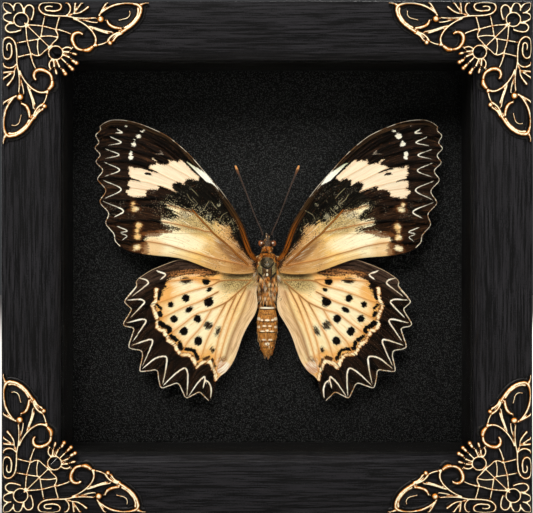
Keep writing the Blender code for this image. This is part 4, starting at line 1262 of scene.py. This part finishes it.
cream = mix(small * cloud.rise(0.5, 0.62) * (x + 14).rise(0, 5) * (z + 16).rise(0, 5) * 0.7, cream,
            tint(74, 54, 32))
over(within("disc", 0.3, 1.6), cream)
chain = scales.attribute("chain") + ragged * 1.0
over(chain.rise(0.62, 0.42) * (scales.attribute("chain") - 1.0).rise(0.2, -0.1) * 0.9,
     tint(186, 112, 44))
over(chain.rise(0.48, 0.2), tones(stripe, 0.42, 0.62, (255, 242, 204), (240, 192, 126)))
black = tint(12, 9, 7)
over(within("bars", 0.12, 0.9, 0.08), mix(blot(-15.5, -26.4, 2.2, 1.5), black, tint(74, 46, 24)))
over(within("dots", 0.25, 1.2, 0.16) * 0.45, tint(128, 84, 46))
over(within("dots", 0.08, 0.8, 0.06), black)
over(within("faded_dots", 0.3, 1.6, 0.18) * grain.rise(0.68, 0.54), tint(30, 17, 8))
fluff = blot(-11.3, -28.5, 1.9, 1.3, 30, 0.9)
fluff = fluff.rise(0.0, 0.3) * (fluff + (grain - 0.5) * 3.0 + (stripe - 0.5)).rise(0.2, 0.6)
over(fluff, tones(stripe, 0.44, 0.6, (254, 240, 216), (206, 150, 108)))
over((blot(-20.75, -6.0, 1.5, 0.9, 0, 0.9) + (grain - 0.5) * 3.0).rise(0.5, 0.9) * 0.75,
     tint(44, 30, 20))
# veins, scallops and rims
on_disc = within("disc", 0.3, 0.3)
over(along("vein", 0.11, 0.1, 0.15) * 0.8, mix(on_disc, tint(6, 4, 3), tint(214, 144, 74)))
over(along("vein", 0.17, 0.1, 0.2) * blot(-9, -9.5, 7.5, 6, 0, 0.8) * 0.7, tint(134, 84, 40))
over(along("fold", 0.1, 0.12, 0.3) * 0.5, tint(128, 84, 48))
wide = 0.06 + (margin - 0.4).rise(0.0, 2.6) * 0.11
over(along("scallop", wide, 0.1, 0.5), tones(stripe, 0.4, 0.6, (255, 248, 232), (240, 214, 180)))
over((margin + ragged * 0.25).rise(0.32, 0.12) * 0.95,
     mix((scales.speck * 0.6 + cloud * 0.4).rise(0.42, 0.54), tint(186, 138, 86),
         tint(254, 242, 220)))
over(costa.rise(0.2, 0.08) * 0.85, tint(190, 164, 132))
scales.clothe("hindwing", sheet, right)

# ----------------------------------------------------------------------- body
# Head, thorax and abdomen grown as one. The back of the thorax is a set of
# polished plates; the abdomen is eight overlapping rings clothed in scales.
BODY = [(6.0, 0.08, 1.9, 0.2), (5.6, 0.30, 1.9, 0.7), (5.0, 0.38, 1.9, 1.1), (4.5, 0.48, 1.9, 1.4),
        (4.0, 0.85, 1.8, 1.7), (3.4, 1.25, 1.8, 1.9), (2.9, 0.95, 1.9, 1.9), (2.4, 1.2, 2.0, 1.9),
        (1.8, 1.45, 2.1, 2.1), (1.1, 1.2, 2.3, 2.3), (0.6, 1.9, 2.6, 2.9), (0.0, 2.4, 2.8, 3.3),
        (-1.2, 2.85, 3.1, 3.7), (-3.0, 2.95, 3.1, 3.7), (-5.0, 2.95, 3.1, 3.6),
        (-7.0, 2.70, 3.2, 3.4), (-9.0, 2.30, 3.3, 2.9), (-11.0, 1.95, 3.4, 2.5),
        (-12.4, 1.80, 3.4, 2.1),
        (-13.2, 2.05, 3.4, 2.2), (-15.0, 2.35, 3.4, 2.5), (-17.2, 2.55, 3.4, 2.7),
        (-19.2, 2.5, 3.4, 2.7),
        (-21.2, 2.25, 3.4, 2.5), (-23.0, 1.8, 3.4, 2.1), (-24.6, 1.25, 3.4, 1.6),
        (-25.6, 0.72, 3.4, 1.0),
        (-26.0, 0.12, 3.4, 0.2)]
RINGS_END = [-13.35, -16.6, -19.35, -21.55, -23.2, -24.5]


def bump(x, z, cx, cz, wide, high):
    """A smooth low dome over an oval, 1 at its middle."""
    return np.clip(1 - ((x - cx) / wide) ** 2 - ((z - cz) / high) ** 2, 0, None) ** 0.5


def groove(x, z, line, half):
    """How deep a crease along a line lies, 1 at its middle."""
    away = nearest(np.column_stack([x, z]), np.array(line, float))[0]
    return np.exp(-(away / half) ** 2)


def body_surface(z, turn):
    """Places on the body's skin at heights z and turns about it; 90 degrees is the front."""
    table = np.array(BODY[::-1])
    wide, middle, deep = (np.interp(z, table[:, 0], table[:, i]) for i in (1, 2, 3))
    swell = np.zeros_like(z)
    for start, end in zip(RINGS_END, RINGS_END[1:] + [-26.0]):
        part = (start - z) / (start - end)
        ring = (part > 0) & (part <= 1)
        swell[ring] = 0.035 * np.sin(part[ring] * 2.2) + 0.045 * part[ring] ** 3
    x = wide * (1 + swell) * np.cos(turn)
    front = np.clip(np.sin(turn), 0, 1) ** 0.5
    y = middle - deep * (1 + swell) * np.sin(turn)
    proud = (0.42 * bump(x, z, 0, -1.45, 1.65, 1.4) + 0.34 * bump(abs(x), z, 1.75, -3.0, 0.72, 1.75)
             + 0.22 * bump(abs(x), z, 0.55, -4.1, 0.5, 1.2) + 0.3
             * bump(abs(x), z, 2.2, -0.75, 0.75, 0.8)
             + 0.25 * bump(x, z, 0, 2.0, 1.5, 0.55) + 0.22 * bump(x, z, 0, 0.5, 1.7, 0.42)
             + 0.2 * bump(x, z, 0, -7.5, 1.9, 1.6) + 0.15 * bump(abs(x), z, 0.9, -10.4, 0.9, 1.5))
    cut = (0.26 * groove(x, z, [(-2.5, -3.8), (0, -6.3), (2.5, -3.8)], 0.2)
           + 0.16 * groove(x, z, [(-1.6, -1.9), (-0.9, -2.75), (0, -2.95), (0.9, -2.75),
                                  (1.6, -1.9)], 0.16)
           + 0.2 * groove(x, z, [(-2, 1.05), (2, 1.05)], 0.16) + 0.16
           * groove(x, z, [(-2, -8.85), (2, -8.85)], 0.16)
           + 0.2 * groove(x, z, [(-2, -12.55), (2, -12.55)], 0.2))
    return np.stack([x, y - (proud - cut) * front, z], axis=-1)


bpy.ops.object.select_all(action="DESELECT")
bpy.ops.mesh.primitive_uv_sphere_add(segments=88, ring_count=210, radius=1.0)
skin = bpy.context.object
spots = places_of(skin)
height = np.arccos(np.clip(spots[:, 2], -1, 1)) / math.pi
turn = np.arctan2(-spots[:, 1], spots[:, 0])
placed = body_surface(6.0 - 32.0 * height, turn)
skin.data.vertices.foreach_set("co", (placed * MM + [0, 0, MIDDLE]).ravel())
skin.name = skin.data.name = "body_skin"
face_outwards(skin)
bpy.ops.object.shade_smooth()


class BodyFinish(Finish):
    """Patches of colour placed in millimetres from the body's middle."""

    over, blot = ScaleFinish.over, ScaleFinish.blot

    def __init__(self, name, **constants):
        super().__init__(name, **constants)
        spot = self.place()
        self.x, self.y = self.part(spot, "x"), self.part(spot, "y")
        self.z = self.part(spot, "z") - MIDDLE / MM
        self.down = self.noise(self.place(4.0, 2.0, 1.1), detail=3, rough=0.6)
        self.speck = self.noise(self.place(5.0), detail=3, rough=0.6)
        self.cloud = self.noise(self.place(0.8), detail=2)
        self.ragged = (self.speck - 0.5) * 0.9 + (self.down - 0.5) * 0.6
        self.paint = None

    def level(self, z, half, reach=9.0):
        """A line across the body."""
        return ((self.z - z).size() + self.ragged * 0.12).rise(half + 0.1, half - 0.06) * \
            self.x.size().rise(reach + 0.3, reach - 0.3)


hide = BodyFinish("body_scales", Specular_IOR_Level=0.2)
x, z, side = hide.x, hide.z, hide.x.size()
tan = hide.mix(hide.down.rise(0.42, 0.6), tint(66, 40, 16), tint(176, 124, 66))
gold = hide.mix((hide.down * 0.5 + hide.speck * 0.5).rise(0.42, 0.58), tint(122, 70, 24),
                tint(208, 142, 66))
hide.paint = hide.mix((z + hide.ragged * 1.2).rise(-11.4, -13.0), tan, gold)
hide.over((hide.y + hide.ragged).rise(3.2, 5.2) * 0.7, tint(214, 186, 140))
# head and collar
hide.over((z + hide.ragged * 0.5).rise(2.4, 2.9),
          hide.mix(hide.speck.rise(0.45, 0.6), tint(42, 36, 32), tint(128, 104, 84)))
hide.over(hide.blot(0, 2.0, 1.9, 0.62),
          hide.mix(hide.speck.rise(0.4, 0.62), tint(90, 44, 8), tint(206, 116, 20)))
hide.over(hide.level(1.05, 0.22) * 0.92, tint(18, 14, 12))
hide.over(hide.blot(0, 0.45, 2.4, 0.5),
          hide.mix(hide.speck.rise(0.4, 0.6), tint(84, 42, 8), tint(196, 112, 20)))
hide.over((side - 2.15 + z * 0.1).size().rise(0.5, 0.25) * (z + 0.5).size().rise(1.5, 1.0),
          hide.mix(hide.speck.rise(0.42, 0.58), tint(70, 34, 8), tint(214, 122, 22)))
# plates of the thorax
hide.over((side - 1.85).size().rise(0.72, 0.5) * (z + 3.0).size().rise(1.95, 1.5) * 0.95,
          hide.mix(hide.speck.rise(0.4, 0.62), tint(88, 72, 42), tint(176, 158, 110)))
hide.over((side - 1.1 + hide.ragged * 0.2).size().rise(0.2, 0.08)
          * (z + 3.7).size().rise(1.4, 1.0) * 0.95, tint(14, 10, 7))
plate = hide.mix(hide.cloud.rise(0.35, 0.62), tint(40, 31, 20), tint(100, 86, 60))
hide.over(hide.blot(0, -1.55, 1.85, 1.5, 0, 0.15), plate)
hide.over(hide.blot(0.1, -1.9, 0.5, 0.4, 0, 0.9) * hide.speck.rise(0.42, 0.56) * 0.7,
          tint(186, 178, 160))
hide.over(hide.blot(0, -1.2, 1.7, 1.2, 0, 0.6) * hide.speck.rise(0.52, 0.44) * 0.6,
          tint(26, 20, 14))
hide.over((side - 0.55).size().rise(0.55, 0.35) * (z + 4.0).size().rise(1.4, 1.0) * 0.9,
          tint(70, 46, 18))
hide.over(((z + 6.35 - side * 0.98).size() + hide.ragged * 0.2).rise(0.5, 0.2)
          * side.rise(2.5, 2.1) * (z + 3.4).rise(0.0, -0.8), tint(14, 11, 9))
hide.over(((z + 2.95 - side * side * 0.5).size() + hide.ragged * 0.15).rise(0.34, 0.12)
          * side.rise(1.7, 1.3), tint(12, 9, 6))
hide.over((side - 0.15 + hide.ragged * 0.2).rise(0.14, 0.0) * (z + 5.2).size().rise(1.1, 0.7),
          tint(14, 10, 6))
hide.over(hide.blot(0, -3.5, 0.25, 0.3, 0, 0.5) * 0.8, tint(210, 190, 156))
hide.over(hide.blot(0, -4.55, 0.28, 0.4, 0, 0.5) * 0.95, tint(236, 224, 200))
# behind the plates
hide.over(hide.level(-8.85, 0.12, 2.0) * 0.6, tint(70, 44, 22))
hide.over(hide.level(-12.5, 0.3, 1.2), tint(20, 15, 12))
hide.over(hide.level(-13.1, 0.2, 1.8), tint(240, 228, 200))
hide.over(hide.level(-13.45, 0.1, 2.0), tint(26, 18, 12))
for line, reach in ((-16.65, 2.0), (-19.35, 2.3), (-21.6, 2.2), (-18.15, 1.2), (-14.7, 1.2),
                    (-23.2, 1.7)):
    hide.over(hide.level(line, 0.1, reach) * (0.95 if reach > 1.9 else 0.55), tint(44, 24, 8))
for cx, cz, wide, high in ((0, -16.2, 0.75, 0.32), (1.35, -16.2, 0.4, 0.35),
                           (0.7, -17.7, 0.6, 0.25),
                           (0, -18.85, 0.55, 0.35), (1.2, -19.05, 0.7, 0.25),
                           (0.85, -21.25, 0.7, 0.28),
                           (0, -22.3, 0.75, 0.5), (2.2, -15.9, 0.6, 0.5), (2.2, -18.0, 0.5, 0.4)):
    dx, dz = (side - cx) / wide, (z - cz) / high
    hide.over((dx * dx + dz * dz + hide.ragged * 1.6).rise(0.95, 0.3) * 0.9, tint(254, 238, 208))
hide.over(hide.blot(0, -20.2, 0.3, 0.8, 0, 0.8) * 0.4, tint(120, 74, 34))
hide.colour(hide.paint)
shiny = hide.blot(0, -3.0, 2.6, 3.4, 0, 0.4)
hide.rough(0.66 - shiny * 0.3)
hide.relief(hide.down * 0.7 + hide.speck * 0.4, strength=0.55, distance=0.00018)
skin.data.materials.append(hide.material)
hand_over(skin, "body_fur", "body")

# the compound eyes, like dark horn, set into the sides of the head
organs = []
for turned in (-1, 1):
    bpy.ops.mesh.primitive_uv_sphere_add(segments=28, ring_count=18, radius=0.00088,
                                         location=(turned * 0.00158, 0.0008, MIDDLE + 0.00345))
    eye = bpy.context.object
    eye.scale = (0.86, 1.0, 0.94)
    organs.append(eye)
drop(organs[0])
organs[1].select_set(True)
bpy.ops.object.join()
eyes = bpy.context.object
eyes.name = eyes.data.name = "body_eyes"
bpy.ops.object.transform_apply(location=True, rotation=True, scale=True)
bpy.ops.object.shade_smooth()
facet = BodyFinish("eye_horn", Coat_Weight=0.6, Coat_Roughness=0.06, Specular_IOR_Level=0.6)
facet.paint = facet.mix(facet.cloud.rise(0.4, 0.6), tint(74, 40, 22), tint(124, 74, 42))
facet.over((facet.x.size() - 2.0).size().rise(0.3, 0.0) * 0.6, tint(172, 92, 44))
# a painted highlight: a small pale glint on each eye
painted_eye_glint = (facet.x.size() - 1.45) * (facet.x.size() - 1.45) + (facet.z - 3.6) * (facet.z - 3.6)
facet.over(painted_eye_glint.rise(0.05, 0.01) * 0.9, tint(255, 236, 214))
facet.colour(facet.paint)
facet.rough(0.18 + facet.speck * 0.15)
facet.relief(facet.node("ShaderNodeTexVoronoi", {}, Vector=facet.place(14), Scale=1.0),
             strength=0.2, distance=0.00003)
eyes.data.materials.append(facet.material)
hand_over(eyes, "body_fur")

# ------------------------------------------------------------------- body fur
# Fine tapered hairs: an orange ruff behind the head, long pale tufts where
# the wings join, golden down over the rest, and a short nap on the abdomen.

# zone: how many, heights, turns from the front, length, lean down, lean out,
# and the tone: 0 dark grey, 1 orange, 2 gold, 3 tan, 4 whitish
FUR = [(170, (4.4, 5.8), (0, 180), 0.55, -0.9, 0.5, 3.2),
       (120, (3.0, 4.6), (0, 60), 0.4, -0.3, 0.8, 0.4),
       (110, (1.7, 2.6), (0, 65), 0.55, -0.15, 0.9, 1.0),
       (320, (1.5, 2.5), (0, 60), 0.55, 0.5, 0.8, 1.15),
       (420, (0.1, 0.9), (0, 80), 0.6, 0.6, 0.8, 1.1),
       (320, (-2.2, 0.2), (42, 74), 0.9, 0.8, 0.7, 1.3),
       (200, (-2.2, 0.4), (68, 110), 1.1, 0.7, 0.8, 3.6),
       (620, (-7.5, -1.5), (62, 112), 1.4, 1.0, 0.6, 3.2),
       (260, (-6.5, 0.5), (75, 105), 1.7, 0.35, 1.0, 2.4),
       (700, (-8.6, -5.2), (0, 62), 1.25, 1.5, 0.35, 2.6),
       (900, (-12.1, -8.6), (0, 62), 1.1, 1.7, 0.3, 2.4),
       (110, (-6.6, -5.0), (0, 12), 0.7, 1.3, 0.6, 1.1),
       (240, (-12.2, -8.0), (60, 110), 1.1, 1.3, 0.5, 3.3),
       (90, (-2.6, -0.3), (0, 30), 0.25, 1.2, 0.5, 2.9),
       (1500, (-25.7, -13.6), (0, 100), 0.5, 2.4, 0.16, 2.1),
       (500, (-25.5, -13.4), (80, 180), 0.55, 2.0, 0.3, 3.1),
       (620, (-12.6, 2.0), (105, 180), 0.9, 1.4, 0.5, 3.4),
       (160, (-26.0, -24.6), (0, 180), 0.5, 2.4, 0.3, 1.9)]

HAIRS_IN_TUFT = 11
ROWED_LEANS, ROW = (1.5, 1.7), 1.15     # the down on the back lies in overlapping rows


def model_hair():
    """One hair of unit length and thickness, in three joints up to a point."""
    bpy.ops.object.select_all(action="DESELECT")
    bpy.ops.mesh.primitive_cone_add(vertices=3, radius1=1.0, radius2=0.0, depth=1.0,
                                    location=(0, 0, 0.5))
    bpy.ops.object.transform_apply(location=True, rotation=True, scale=True)
    bpy.ops.object.mode_set(mode="EDIT")
    for at in (0.35, 0.7):
        bpy.ops.mesh.select_all(action="SELECT")
        bpy.ops.mesh.bisect(plane_co=(0, 0, at), plane_no=(0, 0, 1))
    bpy.ops.object.mode_set(mode="OBJECT")
    return bpy.context.object


rng = np.random.default_rng(11)
roots, ways, sags, lengths, tones = [], [], [], [], []
for count, (low, high), (near, far), length, lean, out, tone in FUR:
    bunches = count // HAIRS_IN_TUFT + 1
    tufts = rng.integers(0, bunches, count)
    middle = lambda spread: rng.normal(0, spread, bunches)[tufts]
    z = rng.uniform(low, high, bunches)[tufts] + rng.normal(0, 0.1, count)
    if lean in ROWED_LEANS:
        z = low + (np.floor((z - low) / ROW) + 0.75) * ROW + rng.normal(0, 0.14, count)
    off = np.radians(rng.uniform(near, far, bunches) * rng.choice([-1, 1], bunches))[tufts]
    turn = math.pi / 2 + off + rng.normal(0, 0.04, count)
    root = body_surface(np.clip(z, -25.9, 5.9), turn)
    skyward = np.stack([np.cos(turn), -np.sin(turn), np.zeros(count)], axis=1)
    way = skyward * out + np.array([0, 0, -1.0]) * lean + rng.normal(0, 0.12, (count, 3))
    way += np.stack([middle(0.35), middle(0.2), middle(0.35)], axis=1)
    way /= np.linalg.norm(way, axis=1)[:, None]
    roots.append(root - skyward * 0.06)
    ways.append(way)
    sags.append(np.array([0, 0, -0.25]) + rng.normal(0, 0.08, (count, 3)) - skyward * 0.2 * out)
    lengths.append(length * rng.uniform(0.7, 1.3, count))
    tones.append(np.where(middle(1.0) > 0.9, 0.1, tone + middle(0.9)) + rng.normal(0, 0.35, count))
roots, ways, sags = (np.concatenate(a) for a in (roots, ways, sags))
lengths, tones = np.concatenate(lengths)[:, None, None], np.concatenate(tones)
hair = model_hair()
shape = np.array([v.co for v in hair.data.vertices])
faces = [tuple(p.vertices) for p in hair.data.polygons]
ahead = ways[:, None, :]
sidewise = np.cross(ways, [0.3, 1.0, 0.2])
sidewise /= np.linalg.norm(sidewise, axis=1)[:, None]
third = np.cross(ways, sidewise)
u, v, w = (shape[None, :, i, None] for i in range(3))
thick = np.where(lengths > 0.7, 0.062, 0.05)
points = (roots[:, None, :] + ahead * lengths * w + sags[:, None, :] * lengths * w ** 2
          + thick * (sidewise[:, None, :] * u + third[:, None, :] * v))
mesh = bpy.data.meshes.new("body_down")
all_faces = [tuple(i + k * len(shape) for i in face) for k in range(len(roots)) for face in faces]
mesh.from_pydata((points.reshape(-1, 3) * MM + [0, 0, MIDDLE]).tolist(), [], all_faces)
note(mesh, hair_tone=np.repeat(tones, len(shape)), hair_tip=np.tile(shape[:, 2], len(roots)))
fur = hair
fur.data, fur.name = mesh, "body_down"
drop(fur)
bpy.ops.object.shade_smooth()
down = Finish("body_down", Specular_IOR_Level=0.35)
tone, tip = down.attribute("hair_tone"), down.attribute("hair_tip")
coat = down.tones(tone, 0.2, 0.9, (20, 13, 8), (232, 128, 22))
coat = down.mix(tone.rise(1.1, 2.0), coat, tint(255, 178, 80))
coat = down.mix(tone.rise(2.2, 3.1), coat, tint(255, 222, 164))
coat = down.mix(tone.rise(3.2, 4.2), coat, tint(250, 238, 216))
# painted shade: each hair darkens towards its root, where the coat would shade it
coat = down.mix(tip.rise(0.4, 0.0) * 0.7, coat, tint(30, 16, 6))
down.colour(coat)
down.rough(0.5 + tip * 0.15)
fur.data.materials.append(down.material)
hand_over(fur, "body_fur")

# ------------------------------------------------------------------- antennae
# Two stiff threads of many short joints, dark as horn, each with a club at its
# tip. They grow from the front of the head and stand clear of the board.
ANTENNA = [(-1.15, 5.6, 1.1), (-1.25, 6.1, 0.9), (-3.0, 10.2, 0.7), (-5.6, 17.0, 0.4),
           (-7.3, 21.2, 0.3),
           (-7.75, 22.3, 0.3), (-8.12, 23.3, 0.3)]
GIRTH = [0.22, 0.17, 0.13, 0.15, 0.25, 0.34, 0.2]
horn = BodyFinish("antenna_horn", Specular_IOR_Level=0.5)
joint = horn.node("ShaderNodeTexWave", {"bands_direction": "Z"}, Vector=horn.place(), Scale=0.75)
horn.paint = horn.mix(joint, tint(38, 27, 20), tint(78, 50, 34))
horn.over(horn.z.rise(20.6, 21.8) * 0.8, tint(120, 72, 36))
horn.over((horn.z + horn.ragged * 0.4).rise(22.0, 22.8), tint(238, 164, 92))
horn.colour(horn.paint)
horn.rough(0.45 + joint * 0.2)
horn.relief(joint, strength=0.5, distance=0.00004)
for side, sign in (("left", 1), ("right", -1)):
    bpy.ops.object.select_all(action="DESELECT")
    bpy.ops.curve.primitive_bezier_curve_add()
    thread = bpy.context.object
    data = thread.data
    data.dimensions, data.resolution_u, data.bevel_depth, data.bevel_resolution = "3D", 16, MM, 3
    data.use_fill_caps = True
    spline = data.splines[0]
    spline.bezier_points.add(len(ANTENNA) - 2)
    for knot, (x, z, y), girth in zip(spline.bezier_points, ANTENNA, GIRTH):
        knot.co, knot.radius = (sign * x * MM, y * MM, MIDDLE + z * MM), girth
        knot.handle_left_type = knot.handle_right_type = "AUTO"
    bpy.ops.object.convert(target="MESH")
    thread = bpy.context.object
    thread.name = thread.data.name = "feeler_" + side
    face_outwards(thread)
    bpy.ops.object.shade_smooth()
    thread.data.materials.append(horn.material)
    hand_over(thread, "antenna_brown", "antenna_" + side)

# ------------------------------------------------- the studio around the piece
# A pale matt floor, four soft lamps and the camera square to the front. None
# of it belongs to the object.
bpy.ops.object.select_all(action="DESELECT")
bpy.ops.mesh.primitive_plane_add(size=1.0, location=(0, 0, -0.0002))
floor = bpy.context.object
floor.name = floor.data.name = "studio_floor"
floor.scale = (3.0, 3.0, 1.0)
bpy.ops.object.transform_apply(location=True, rotation=True, scale=True)
pale = Finish("pale_floor", Roughness=0.8)
pale.colour(pale.mix(pale.noise(pale.place(0.02)), tint(214, 212, 208), tint(224, 222, 218)))
floor.data.materials.append(pale.material)


HEART = Vector((0.0, 0.0, MIDDLE))
SOFTBOXES = {"key": ((-0.2, -0.75, 0.78), 0.6, 0.4, 11.0),
             "fill": ((0.55, -0.45, 0.35), 0.4, 0.5, 1.5),
             "back": ((0.3, 0.7, 0.5), 0.5, 0.4, 8), "back_left": ((-0.6, 0.4, 0.3), 0.4, 0.4, 4)}
for name, (spot, width, height, power) in SOFTBOXES.items():
    light = bpy.data.lights.new(name, "AREA")
    light.shape, light.size, light.size_y = "RECTANGLE", width, height
    light.energy, light.color = power, (1.0, 0.98, 0.95)
    holder = bpy.data.objects.new(name, light)
    holder.location = spot
    holder.rotation_euler = (HEART - Vector(spot)).to_track_quat("-Z", "Y").to_euler()
    bpy.context.scene.collection.objects.link(holder)

world = bpy.data.worlds.new("studio_air")
bpy.context.scene.world = world
world.use_nodes = True
world.node_tree.nodes["Background"].inputs["Color"].default_value = (0.9, 0.95, 1.0, 1.0)
world.node_tree.nodes["Background"].inputs["Strength"].default_value = 0.05
bpy.context.scene.view_settings.view_transform = "Standard"

lens = bpy.data.cameras.new("camera")
lens.sensor_width, lens.lens = 36.0, 98.07
lens.shift_x, lens.shift_y = -0.0086, -0.024
lens.clip_start, lens.clip_end = 0.01, 20.0
camera = bpy.data.objects.new("camera", lens)
camera.location = (0.0010, -0.3705, 0.0661)
camera.rotation_euler = (math.radians(90), 0, 0)
bpy.context.scene.collection.objects.link(camera)
bpy.context.scene.camera = camera
